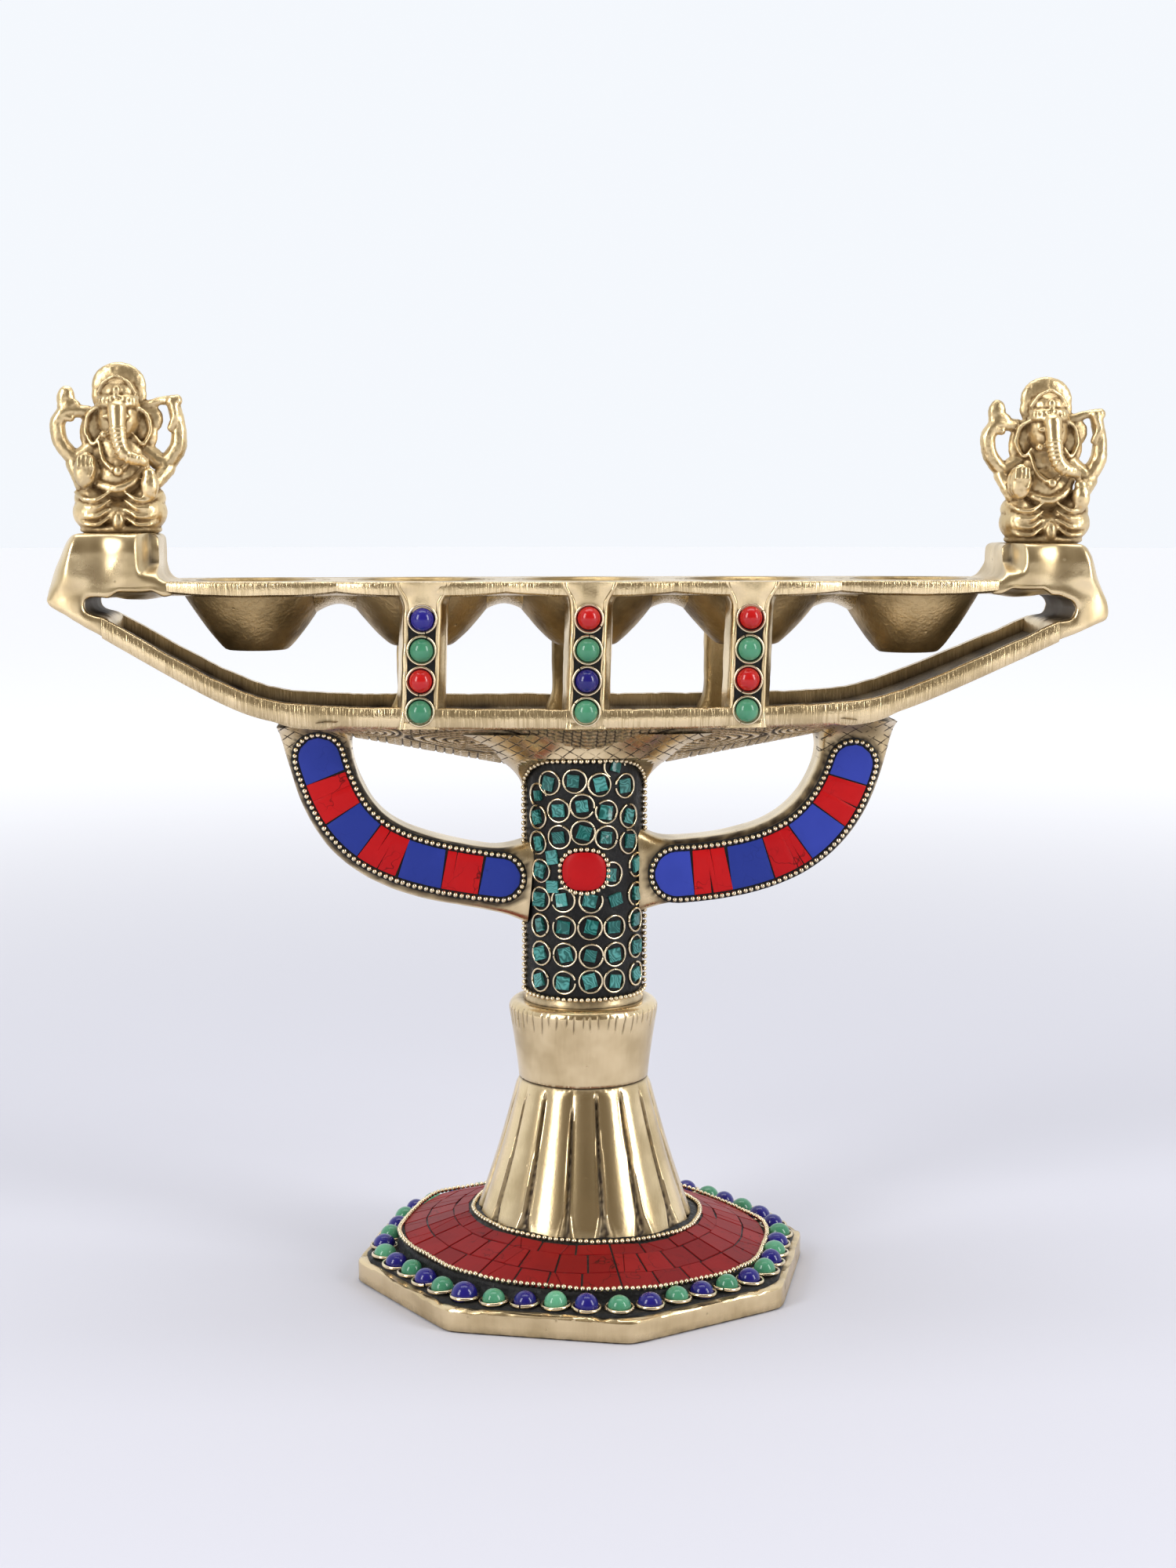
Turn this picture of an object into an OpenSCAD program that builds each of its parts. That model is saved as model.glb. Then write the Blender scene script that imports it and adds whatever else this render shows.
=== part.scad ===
// Standing brass oil lamp (samai): an octagonal foot, a fluted cone, an inlaid column with two
// curved arms, a boat-shaped drip tray, and a deck of five oil cups between two seated figures.
// +Z is up, +X is the viewer's right and -Y is the front. The origin is on the column's axis,
// on the surface the lamp stands on. All sizes are in millimetres.

/* [Foot] */
// Radius of the octagonal foot over its corners
foot_r = 65.7; // [62:0.1:70]
// Height of the foot's vertical rim
foot_rim_h = 6.5; // [5:0.1:8]
// Turn of the octagon about the column
foot_turn = 7.4; // [0:0.1:22.5]
// Radius of the rounded corners of the octagon
foot_corner_r = 5; // [2:0.5:8]
// Height of the tiled slope's upper edge
slope_top_z = 17; // [14:0.5:20]

/* [Fluted cone] */
// Radius of the cone's lower edge
cone_r = 30.6; // [28:0.1:33]
// Radius where the cone meets its collar
neck_r = 18.3; // [16:0.1:20]
// Height of the neck
neck_z = 57; // [50:0.5:62]
// Number of flutes round the cone
flute_count = 16; // [12:1:20]
// Largest radius of the collar
collar_r = 21.2; // [19:0.1:24]
// Height of the collar's top face
collar_top_z = 79.5; // [76:0.5:84]

/* [Column and arms] */
// Radius of the column
column_r = 17; // [15:0.5:19]
// Height of the column's inlaid panel at its top edge
panel_top_z = 149; // [140:0.5:150]
// Depth of the arms from front to back
arm_depth = 18; // [14:0.5:22]
// Thickness of the resin beds under the inlay
resin_t = 1.4; // [1:0.1:2]

/* [Drip tray] */
// Height of the lower edge of the tray's band at mid length
band_z = 158.8; // [156:0.1:161]
// Height of the tray's band
band_h = 5.5; // [4:0.1:7]
// Half of the tray's width at mid length
tray_half_w = 28; // [25:0.5:31]
// Depth of the keel below the band at mid length
keel_depth = 16.5; // [12:0.5:18]
// Thickness of the tray's wall
tray_wall = 3.2; // [2.5:0.1:4]

/* [Deck and cups] */
// Height of the deck's top face
deck_z = 198.5; // [197:0.1:200]
// Thickness of the deck
deck_t = 4.2; // [3.5:0.1:5]
// Distance between the cups' centres
cup_pitch = 45.7; // [45:0.1:46.5]
// Outer radius of a cup under the deck
cup_r = 20; // [18:0.5:21]
// Depth of the shallowest cups over their outside
cup_h = 18.4; // [16:0.1:22]
// Thickness of a cup's wall
cup_wall = 2.6; // [2:0.1:3.5]

/* [Struts] */
// Width of a strut
strut_w = 10.4; // [9.5:0.1:12]
// Depth of a strut from front to back
strut_d = 7.5; // [6:0.5:10]

/* [Inlay] */
// Diameter of the round stones
stone_d = 6; // [5:0.1:6.5]
// Outside diameter of the wire rings
ring_d = 8.4; // [8:0.1:8.6]
// Thickness of the wire rings
wire_d = 0.8; // [0.6:0.1:1]
// Width of the beaded chains
chain_w = 1.5; // [1.2:0.1:1.8]

/* [Hidden] */
$fn = 48;

LEFT = 0;
RIGHT = 1;
BRASS = "darkgoldenrod";
RESIN = [0.12, 0.11, 0.10];
BLUE = [0.16, 0.22, 0.62];
RED = [0.78, 0.08, 0.10];
GREEN = [0.22, 0.55, 0.42];
TEAL = [0.16, 0.52, 0.52];

// Small gap between a stone or post and the pocket that holds it
fit_gap = 0.05;
// Depth that a cutting solid runs past the face it cuts
past = 1;

// ---------- curves ----------

// Points of an arc in a plane, from angle a0 to angle a1 in n steps
function arc(cx, cy, r, a0, a1, n = 8) =
  [for (i = [0:n]) let (a = a0 + (a1 - a0) * i / n) [cx + r * cos(a), cy + r * sin(a)]];

// A level line that bends smoothly into a slope near s0
function elbow(s, s0, r, slope) = slope * (sqrt((s - s0) * (s - s0) + r * r) + s - s0) / 2;

// A regular octagon with round corners
function octagon(r, corner) =
  let (centre = r - corner / cos(22.5))
  [for (k = [0:7], p = arc(centre * cos(45 * k), centre * sin(45 * k), corner,
    45 * k - 22.5, 45 * k + 22.5, 4)) p];

// A cubic curve through its first and last control points
function bezier(p, t) =
  pow(1 - t, 3) * p[0] + 3 * t * pow(1 - t, 2) * p[1] + 3 * t * t * (1 - t) * p[2]
  + pow(t, 3) * p[3];
function bezier_normal(p, t) =
  let (d = bezier(p, min(t + 0.001, 1)) - bezier(p, max(t - 0.001, 0)))
  [-d[1], d[0]] / norm(d);

// ---------- foot ----------

slope_top_r = 33.4;
slope_low_z = foot_rim_h + 3.7;
// The whole slope leans a little to the right, as it was set by hand
slope_tilt = 1.8;
bed_r = 61.5;
stone_ring_r = 57.3;
// How much further out the stones lie at the octagon's corners
stone_ring_wave = 1.2;
stone_count = 42;
first_stone_angle = -93;
swap_from = 13;
swap_to = 24;
// How high the middle of a foot stone stands above its flat back, as a share of its width
foot_stone_middle = 0.14;
outer_chain_r = 52.5;
inner_chain_r = 32.4;
bed_z = foot_rim_h + 0.8;
slope_foot_r = outer_chain_r + 0.8;
slope_bed_t = 1.6;
plate_wall = 4;
stud_r = 4;

// The slope's solid, thinner by a depth on its outside
module slope(inset) {
  low = foot_rim_h - 1;
  rotate([0, slope_tilt, 0]) rotate_extrude() polygon([
    [0, low], [slope_foot_r - inset, low], [slope_foot_r - inset, slope_low_z - inset],
    [slope_top_r - inset, slope_top_z - inset], [0, slope_top_z - inset]
  ]);
}

module under_cone() {
  translate([0, 0, -past]) cylinder(r = cone_r - 6, h = slope_top_z + 4 * past);
}

module foot_plate() {
  color(BRASS) difference() {
    union() {
      rotate(foot_turn - 90) linear_extrude(foot_rim_h) polygon(octagon(foot_r, foot_corner_r));
      slope(slope_bed_t);
    }
    translate([0, 0, -past])
      rotate(foot_turn - 90) linear_extrude(foot_rim_h - plate_wall + 1.5 + past)
        polygon(octagon(foot_r - plate_wall, foot_corner_r));
    under_cone();
  }
}

// The lac bed: a flat ring for the stones and a slope for the tiles
module foot_resin() {
  color(RESIN) difference() {
    union() {
      translate([0, 0, foot_rim_h]) cylinder(r = bed_r, h = bed_z - foot_rim_h);
      intersection() {
        slope(0);
        translate([0, 0, foot_rim_h]) cylinder(r = bed_r, h = slope_top_z);
      }
    }
    slope(slope_bed_t);
    under_cone();
  }
}

function slope_z(r) =
  slope_low_z + (slope_top_z - slope_low_z) * (slope_foot_r - r) / (slope_foot_r - slope_top_r);

tile_rows = 2;
tile_t = 1;
tile_gap = 0.5;
slope_angle = atan2(slope_top_z - slope_low_z, slope_foot_r - slope_top_r);

// Two rings of tapered tiles that lie on the slope, one octagon face at a time
module foot_tiles() {
  row = (outer_chain_r - inner_chain_r - 3) / tile_rows;
  color(RED) rotate([0, slope_tilt, 0]) for (side = [0:7], r = [0:tile_rows - 1]) {
    r0 = inner_chain_r + 1.5 + r * row;
    count = 2 + r;
    half = (r0 + row / 2) * tan(22.5) - 0.6;
    for (i = [0:count - 1]) {
      w = 2 * half / count;
      rotate(foot_turn - 90 + 22.5 + 45 * side)
        translate([r0 + row / 2, -half + (i + 0.5) * w, slope_z(r0 + row / 2) + 0.02])
          rotate([0, slope_angle, 0])
            translate([0, 0, tile_t / 2 + 0.9 * r * (1 - cos(22.5))])
              cube([row - tile_gap, w - tile_gap, tile_t], center = true);
    }
  }
}

module ring(d, wire) {
  rotate_extrude($fn = 32) translate([d / 2 - wire / 2, 0]) circle(d = wire, $fn = 16);
}

// A polished ball ground flat at its back, with its middle at a share of its width above the flat
module dome(d, middle = -0.18) {
  intersection() {
    translate([0, 0, d * middle]) sphere(d = d * 1.06, $fn = 32);
    cylinder(d = d, h = d, $fn = 32);
  }
}

function stone_angle(i) = i * 360 / stone_count + first_stone_angle;
// The two colours take turns, and change places where the maker lost count
function is_blue(i) = (i < swap_from || i > swap_to) ? i % 2 == 0 : i % 2 == 1;
function stone_r(a) = stone_ring_r + stone_ring_wave * cos(8 * (a - foot_turn));

module at_stone(i) {
  rotate(stone_angle(i)) translate([stone_r(stone_angle(i)), 0, bed_z]) children();
}

module foot_stones(blue) {
  for (i = [0:stone_count - 1])
    if (is_blue(i) == blue)
      at_stone(i) dome(stone_d, foot_stone_middle);
}

module foot_rings() {
  color(BRASS) for (i = [0:stone_count - 1])
    at_stone(i) translate([0, 0, wire_d / 2]) ring(ring_d, wire_d);
}

module foot_stones_blue() {
  color(BLUE) foot_stones(true);
}

module foot_stones_green() {
  color(GREEN) foot_stones(false);
}

module round_chain(r, z) {
  rotate([0, slope_tilt, 0]) translate([0, 0, z + chain_w / 2]) rotate_extrude()
    translate([r, 0]) circle(d = chain_w, $fn = 16);
}

module foot_chain_outer() {
  color(BRASS) round_chain(outer_chain_r, slope_z(outer_chain_r) + 0.1);
}

module foot_chain_inner() {
  color(BRASS) round_chain(inner_chain_r, slope_top_z);
}

// ---------- fluted cone and stem ----------

flute_groove = 1.1;
cone_z = slope_top_z;
cone_angle = atan2(cone_r - neck_r, neck_z - cone_z);
// Height over which the collar widens, and the radius of its rounded top edge
collar_rise = 18;
collar_edge_r = 2.5;
web_z = 60;
web_t = 5;

module fluted_foot() {
  color(BRASS) difference() {
    rotate_extrude() polygon(concat(
      [[cone_r - 4, cone_z], [cone_r, cone_z]],
      [for (i = [0:4]) [neck_r + (collar_r - neck_r) * pow(i / 4, 1.3), neck_z + collar_rise * i / 4]],
      arc(collar_r - collar_edge_r, collar_top_z - collar_edge_r, collar_edge_r, 0, 90, 4),
      [[column_r - past, collar_top_z], [column_r - past, web_z + web_t], [0, web_z + web_t],
       [0, web_z], [neck_r - 4, web_z], [neck_r - 4, neck_z]]
    ));
    for (i = [0:flute_count - 1]) rotate(i * 360 / flute_count)
      translate([cone_r, 0, cone_z]) rotate([0, -cone_angle, 0])
        translate([0, 0, -4]) cylinder(r = flute_groove, h = 43, $fn = 16);
    translate([0, 0, web_z - past]) cylinder(r = stud_r + 0.3, h = web_t + 2 * past);
  }
}

stud_low = web_z - 12;
stud_high = 104;

module stem_stud() {
  color("silver") translate([0, 0, stud_low]) cylinder(r = stud_r, h = stud_high - stud_low);
}

module stem_washer() {
  color("silver") translate([0, 0, web_z - 1.6]) difference() {
    cylinder(d = 20, h = 1.6);
    translate([0, 0, -past]) cylinder(r = stud_r + 0.2, h = 1.6 + 2 * past);
  }
}

module stem_nut() {
  color("silver") translate([0, 0, web_z - 1.6 - 6.5]) difference() {
    cylinder(d = 15, h = 6.5, $fn = 6);
    translate([0, 0, -past]) cylinder(r = stud_r + 0.02, h = 6.5 + 2 * past);
  }
}

panel_low_z = collar_top_z + 1.8;
panel_half_angle = 70;
column_foot_z = web_z + web_t;

// A wedge that keeps what lies within an angle of the front
module front_wedge(half_angle, h) {
  far = 60;
  linear_extrude(h) polygon(concat([[0, 0]],
    [for (i = [-4:4]) let (a = -90 + half_angle * i / 4) [far * cos(a), far * sin(a)]]));
}

module stem_column() {
  color(BRASS) difference() {
    union() {
      translate([0, 0, column_foot_z]) cylinder(r = column_r - past, h = 20);
      translate([0, 0, collar_top_z]) cylinder(r = column_r, h = 76);
    }
    translate([0, 0, panel_low_z]) intersection() {
      difference() {
        cylinder(r = column_r + past, h = panel_top_z - panel_low_z);
        translate([0, 0, -past]) cylinder(r = column_r - resin_t, h = 80);
      }
      front_wedge(panel_half_angle, 80);
    }
    translate([0, 0, column_foot_z - past])
      cylinder(r = stud_r + 0.02, h = stud_high - column_foot_z + past);
    tray_outside();
    tray_blank_cut();
  }
}

module column_resin() {
  color(RESIN) difference() {
    translate([0, 0, panel_low_z]) intersection() {
      difference() {
        cylinder(r = column_r - 0.2, h = panel_top_z - panel_low_z - fit_gap);
        translate([0, 0, -past]) cylinder(r = column_r - resin_t, h = 80);
      }
      front_wedge(panel_half_angle - 0.3, 80);
    }
    tray_outside();
  }
}

ring_rows = 9;
ring_columns = 5;
ring_pitch_z = 7.35;
ring_pitch_angle = 24.6;
chip_w = 3.3;
chip_t = 1;
medallion_z = 117;
medallion_w = 11.5;
medallion_h = 10.2;
panel_mid_z = (panel_low_z + panel_top_z) / 2;

// The places of the wire rings: rows of five, staggered, with the medallion's place left free
ring_places = [
  for (row = [0:ring_rows - 1], col = [0:ring_columns - 1])
  let (
    z = panel_low_z + 4.9 + row * ring_pitch_z - (col % 2 == 0 ? 0.9 : -0.9) * (row == 0 ? -1 : 1),
    a = (col - (ring_columns - 1) / 2) * ring_pitch_angle
  )
  if (z < panel_top_z - 4.5 && norm([a * column_r * PI / 180, z - medallion_z]) > 10.5) [a, z]
];

module on_column(a, z, r) {
  rotate(a) translate([0, -r, z]) rotate([90, 0, 0]) children();
}

module column_rings() {
  color(BRASS) for (p = ring_places)
    on_column(p[0], p[1], column_r + 0.2) translate([0, 0, wire_d / 2]) ring(7.1, 0.7);
}

module column_chips() {
  color(TEAL) for (i = [0:len(ring_places) - 1])
    on_column(ring_places[i][0], ring_places[i][1], column_r)
      rotate(37 * i % 23 - 11) translate([0, 0, chip_t / 2 + 0.05])
        cube([chip_w, chip_w, chip_t], center = true);
}

module column_medallion() {
  color(RED) on_column(0, medallion_z, column_r - 0.2) linear_extrude(1.6)
    polygon([for (i = [0:35]) [medallion_w / 2 * cos(10 * i), medallion_h / 2 * sin(10 * i)]]);
}

// The medallion's oval, wider all round by a margin
module medallion_oval(margin) {
  scale([medallion_w / 2 + margin, medallion_h / 2 + margin]) circle(r = 1, $fn = 36);
}

medallion_gap = 0.4;

module medallion_chain() {
  color(BRASS) on_column(0, medallion_z, column_r + 0.3) linear_extrude(chain_w) difference() {
    medallion_oval(medallion_gap + chain_w);
    medallion_oval(medallion_gap);
  }
}

// The chain round the column's panel: a flat strip bent round the column
module column_chain() {
  edge = 1.3;
  color(BRASS) intersection() {
    difference() {
      translate([0, 0, panel_low_z]) cylinder(r = column_r + 1.1, h = panel_top_z - panel_low_z);
      translate([0, 0, panel_low_z - past]) cylinder(r = column_r, h = 80);
      translate([0, 0, panel_low_z + edge])
        front_wedge(panel_half_angle - 5, panel_top_z - panel_low_z - 2 * edge);
    }
    translate([0, 0, panel_low_z]) front_wedge(panel_half_angle - 0.5, 80);
  }
}

// ---------- drip tray ----------

tray_half_l = 131;
tip_s = 147;
// Where each end starts to rise, the bend's length, and the slope beyond it: left, then right
rise_s = [90, 80];
rise_bend = [12, 12];
rise_slope = [0.593, 0.44];

// Depth under the band beyond the keel, and where the keel runs out
keel_end = 0.8;
keel_s = 95;

function side_of(x) = x < 0 ? LEFT : RIGHT;
function band_low(x) =
  let (k = side_of(x), s = abs(x)) band_z + elbow(s, rise_s[k], rise_bend[k], rise_slope[k])
  - elbow(0, rise_s[k], rise_bend[k], rise_slope[k]) * (1 - s / tip_s);
function tray_w(x) = tray_half_w - 12 * pow(abs(x) / tip_s, 1.3);
function keel(x) =
  keel_end + (keel_depth - keel_end) * pow(max(0, 1 - abs(x) / keel_s), 1.15);

// A tray section at x: down the front wall, along the underside and up the back wall, then back
// over the inside
section_steps = 10;
function under(w, z, depth, x, a0 = 180, a1 = 360) =
  [for (i = [0:section_steps]) let (a = a0 + (a1 - a0) * i / section_steps)
    [x, w * cos(a), z + depth * sin(a)]];
function solid_section(x) =
  let (w = tray_w(x), z = band_low(x), top = z + band_h)
  concat([[x, -w, top]], under(w, z, keel(x), x), [[x, w, top]]);
function hollow_section(x) =
  let (w = tray_w(x) - tray_wall, z = band_low(x) + tray_wall * 0.6, top = band_low(x) + band_h + past)
  concat([[x, -w, top]], under(w, z, max(keel(x) - tray_wall * 0.6, 0.6), x), [[x, w, top]]);

// A closed solid through a row of sections with equal numbers of points
module loft(sections) {
  n = len(sections[0]);
  m = len(sections);
  points = [for (s = sections, p = s) p];
  sides = [for (j = [0:m - 2], i = [0:n - 1], half = [0, 1])
    let (a = j * n + i, b = j * n + (i + 1) % n) half == 0 ? [a, a + n, b + n] : [a, b + n, b]];
  near_cap = [for (i = [0:n - 1]) i];
  far_cap = [for (i = [n - 1:-1:0]) (m - 1) * n + i];
  polyhedron(points, concat(sides, [near_cap, far_cap]), convexity = 8);
}

tray_steps = 36;
function tray_x(i, half) = -half + 2 * half * i / tray_steps;

module tray_outside() {
  loft([for (i = [0:tray_steps]) solid_section(tray_x(i, tray_half_l))]);
}

// What lies above the tray's rim, so that a post under the tray ends at its underside
module tray_blank_cut() {
  translate([-tray_half_l, -60, band_z + 1]) cube([2 * tray_half_l, 120, 60]);
}

module strut_notches() {
  for (i = [0:2]) translate([strut_front_x[i] - strut_w / 2, strut_front_y(i) - past, band_z - fit_gap])
    cube([strut_w, strut_d + past + fit_gap, 60]);
}

module drip_tray() {
  color(BRASS) difference() {
    tray_outside();
    loft([for (i = [0:tray_steps]) hollow_section(tray_x(i, tray_half_l - 6))]);
    strut_notches();
  }
}

// ---------- arms ----------

// Each arm's centre line from the column to the tray, left then right, for the right-hand side
arm_line = [
  [[15, 114.6], [62, 119.4], [69.2, 127], [76.2, 160]],
  [[15, 115.8], [50.7, 116.3], [73.3, 120.7], [77.9, 160]]
];
// Width of each arm outside and inside its centre line, at the column and at the tray
arm_outer_w = [[10.3, 8.8], [8.8, 9.1]];
arm_inner_w = [[7.4, 8.9], [9.4, 9.2]];
// Half width of each arm's inlay at the column and at the tray, and where it starts and ends
arm_inlay_w = [[7.1, 7.5], [8.2, 7.1]];
inlay_t = [[0.065, 0.885], [0.105, 0.875]];
arm_steps = 28;
arm_front = arm_depth / 2;
// Distance from the inlay's edge to its tiles, and the width of the chain's bed
tile_inset = 1.65;
chain_bed_w = 1.5;

function across(pair, t) = pair[0] + (pair[1] - pair[0]) * t;

// The outline of a strip along the arm from t0 to t1, with its widths outside and inside the line
function strip(side, t0, t1, outer, inner, n = arm_steps) =
  let (line = arm_line[side], ts = [for (i = [0:n]) t0 + (t1 - t0) * i / n])
  concat(
    [for (t = ts) bezier(line, t) + bezier_normal(line, t) * across(inner, t)],
    [for (i = [n:-1:0]) bezier(line, ts[i]) - bezier_normal(line, ts[i]) * across(outer, ts[i])]
  );

// The inlay's outline: a strip with round ends, drawn in by an inset
inlay_steps = 20;
function inlay(side, inset) =
  let (
    line = arm_line[side],
    t0 = inlay_t[side][0],
    t1 = inlay_t[side][1],
    n0 = bezier_normal(line, t0),
    n1 = bezier_normal(line, t1),
    a0 = atan2(n0[1], n0[0]),
    a1 = atan2(n1[1], n1[0]),
    half = [for (i = [0:inlay_steps]) across(arm_inlay_w[side], t0 + (t1 - t0) * i / inlay_steps) - inset],
    mid = [for (i = [0:inlay_steps]) bezier(line, t0 + (t1 - t0) * i / inlay_steps)],
    out = [for (i = [0:inlay_steps]) bezier_normal(line, t0 + (t1 - t0) * i / inlay_steps)]
  )
  concat(
    [for (i = [0:inlay_steps - 1]) mid[i] + out[i] * half[i]],
    arc(mid[inlay_steps][0], mid[inlay_steps][1], half[inlay_steps], a1, a1 - 180, 10),
    [for (i = [inlay_steps - 1:-1:1]) mid[i] - out[i] * half[i]],
    arc(mid[0][0], mid[0][1], half[0], a0 + 180, a0, 10)
  );

module arm_side(side) {
  if (side == LEFT) mirror([1, 0, 0]) children();
  else children();
}

// Lays a flat outline, drawn in X and Z, on the arm's front face
module on_arm_front(depth, lift = 0) {
  translate([0, -arm_front - lift, 0]) rotate([90, 0, 0]) linear_extrude(depth) children();
}

saddle_flare = 5;
saddle_half_w = tray_half_w - 6;

module arm_body(side) {
  difference() {
    arm_side(side) {
      translate([0, arm_front, 0]) rotate([90, 0, 0]) linear_extrude(arm_depth)
        polygon(strip(side, 0, 0.97, arm_outer_w[side], arm_inner_w[side]));
      // The saddle that spreads under the tray
      hull() {
        at = bezier(arm_line[side], 0.86);
        top = bezier(arm_line[side], 0.99);
        outer = arm_outer_w[side][1];
        inner = arm_inner_w[side][1];
        translate([at[0] - inner, -arm_front, at[1]]) cube([inner + outer, arm_depth, 1]);
        translate([top[0] - inner - saddle_flare, -saddle_half_w, top[1]])
          cube([inner + outer + saddle_flare, 2 * saddle_half_w, 1]);
      }
    }
    arm_side(side) on_arm_front(resin_t + past, -resin_t) polygon(inlay(side, 0));
    cylinder(r = column_r + 0.02, h = 300);
    tray_outside();
    tray_blank_cut();
  }
}

module arm_resin(side) {
  color(RESIN) arm_side(side) difference() {
    on_arm_front(resin_t - 0.2, -resin_t) polygon(inlay(side, fit_gap));
    cylinder(r = column_r + 0.1, h = 300);
  }
}

arm_tile_count = 7;
tile_gap_t = 0.006;
// Wide enough to cut right across an arm
past_arm = [14, 14];

// Every other tile: first is 0 for the blue tiles and 1 for the red ones between them
module arm_tiles(side, first) {
  t0 = inlay_t[side][0];
  step = (inlay_t[side][1] - t0) / arm_tile_count;
  arm_side(side) for (i = [first:2:arm_tile_count - 1]) intersection() {
    on_arm_front(1.2, -0.15) polygon(inlay(side, tile_inset));
    on_arm_front(1.2, -0.15) polygon(strip(side,
      i == 0 ? 0 : t0 + i * step + tile_gap_t,
      i == arm_tile_count - 1 ? 0.97 : t0 + (i + 1) * step - tile_gap_t, past_arm, past_arm, 8));
  }
}

module arm_chain(side) {
  color(BRASS) arm_side(side) difference() {
    on_arm_front(0.9, -0.1) polygon(inlay(side, fit_gap));
    on_arm_front(3, -past) polygon(inlay(side, chain_bed_w));
    cylinder(r = column_r + 0.1, h = 300);
  }
}

module arm_left() { color(BRASS) arm_body(LEFT); }
module arm_right() { color(BRASS) arm_body(RIGHT); }
module arm_resin_left() { arm_resin(LEFT); }
module arm_resin_right() { arm_resin(RIGHT); }
module arm_tiles_blue_left() { color(BLUE) arm_tiles(LEFT, 0); }
module arm_tiles_blue_right() { color(BLUE) arm_tiles(RIGHT, 0); }
module arm_tiles_red_left() { color(RED) arm_tiles(LEFT, 1); }
module arm_tiles_red_right() { color(RED) arm_tiles(RIGHT, 1); }
module arm_chain_left() { arm_chain(LEFT); }
module arm_chain_right() { arm_chain(RIGHT); }

// ---------- struts ----------

strut_front_x = [-45.4, -0.7, 43.3];
back_shift = -1.9;
deck_low_z = deck_z - deck_t;
channel_w = 8.8;
function strut_front_y(i) = 0.4 - tray_w(strut_front_x[i]);
strut_stone_z = [188.6, 180.2, 171.9, 163.6];
channel_low_z = band_z + 0.6;
channel_high_z = deck_low_z - 1;

module strut_front(i) {
  color(BRASS) difference() {
    translate([strut_front_x[i] - strut_w / 2, strut_front_y(i), band_z])
      cube([strut_w, strut_d, deck_low_z - band_z]);
    translate([strut_front_x[i] - channel_w / 2, strut_front_y(i) - past, channel_low_z])
      cube([channel_w, resin_t + past, channel_high_z - channel_low_z]);
  }
}

module strut_resin(i) {
  color(RESIN)
    translate([strut_front_x[i] - channel_w / 2 + fit_gap, strut_front_y(i) + 0.3, channel_low_z])
    cube([channel_w - 2 * fit_gap, resin_t - 0.3, channel_high_z - channel_low_z - fit_gap]);
}

strut_back_z = band_z + 2;

module strut_back(i) {
  color(BRASS) difference() {
    translate([strut_front_x[i] + back_shift - strut_w / 2,
      tray_w(strut_front_x[i]) - tray_wall - strut_d, strut_back_z])
        cube([strut_w, strut_d, deck_low_z - strut_back_z]);
    difference() {
      tray_outside();
      loft([for (k = [0:tray_steps]) hollow_section(tray_x(k, tray_half_l - 6))]);
    }
  }
}

module strut_front_left() { strut_front(0); }
module strut_front_centre() { strut_front(1); }
module strut_front_right() { strut_front(2); }
module strut_back_left() { strut_back(0); }
module strut_back_centre() { strut_back(1); }
module strut_back_right() { strut_back(2); }
module strut_resin_left() { strut_resin(0); }
module strut_resin_centre() { strut_resin(1); }
module strut_resin_right() { strut_resin(2); }

// The colour of each stone, from the top down: left, centre and right strut
strut_stones = [
  ["blue", "green", "red", "green"],
  ["red", "green", "blue", "green"],
  ["red", "green", "red", "green"]
];

module on_struts(colour) {
  for (i = [0:2], j = [0:3])
    if (colour == "any" || strut_stones[i][j] == colour)
      translate([strut_front_x[i], strut_front_y(i) + 0.3, strut_stone_z[j]]) rotate([90, 0, 0]) children();
}

module strut_rings() {
  color(BRASS) on_struts("any") translate([0, 0, wire_d / 2]) ring(ring_d - 0.1, wire_d);
}
module strut_stones_red() { color(RED) on_struts("red") dome(stone_d); }
module strut_stones_green() { color(GREEN) on_struts("green") dome(stone_d); }
module strut_stones_blue() { color(BLUE) on_struts("blue") dome(stone_d); }

// ---------- deck and cups ----------

cup_count = 5;
cup_first_x = 0.6 - 2 * cup_pitch;
deck_end_s = 113;
lobe_rise = 2.2;
deck_steps = 120;

// Half width of the deck: wide at the middle, narrow at the ends, with one lobe for each cup
function deck_w(x) =
  tray_half_w - 1.2 - 8 * pow(abs(x) / deck_end_s, 2.2)
  + lobe_rise * (abs(cos(180 * (x - cup_first_x) / cup_pitch)) - 1)
  + 1.4 * pow(abs(x) / deck_end_s, 2);

module deck_plate() {
  color(BRASS) difference() {
    translate([0, 0, deck_low_z]) linear_extrude(deck_t) polygon(concat(
      [for (i = [0:deck_steps]) let (x = -deck_end_s + 2 * deck_end_s * i / deck_steps) [x, -deck_w(x)]],
      [for (i = [deck_steps:-1:0]) let (x = -deck_end_s + 2 * deck_end_s * i / deck_steps) [x, deck_w(x)]]
    ));
    for (i = [0:cup_count - 1]) translate([cup_first_x + i * cup_pitch, 0, deck_low_z - past])
      cylinder(r = cup_hole(i), h = deck_t + 2 * past);
  }
  // The webs that join neighbouring cups under the deck
  color(BRASS) difference() {
    for (i = [0.5:cup_count - 1.5])
      translate([cup_first_x + i * cup_pitch - cup_web_w / 2, -cup_web_half_d, deck_low_z - cup_web_h])
        cube([cup_web_w, 2 * cup_web_half_d, cup_web_h]);
    for (i = [0:cup_count - 1]) translate([cup_first_x + i * cup_pitch, 0, 0]) cup_outside(i, fit_gap);
  }
}

cup_web_w = 12;
cup_web_half_d = 10;
cup_web_h = 3;

// The outer cups are a little smaller, because the deck narrows there
function cup_scale(i) = abs(i - 2) == 2 ? 0.93 : 1;
function cup_hole(i) = (cup_r - 2.2) * cup_scale(i);
cup_lip = 1.8;

cup_foot_r = 8;
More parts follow.
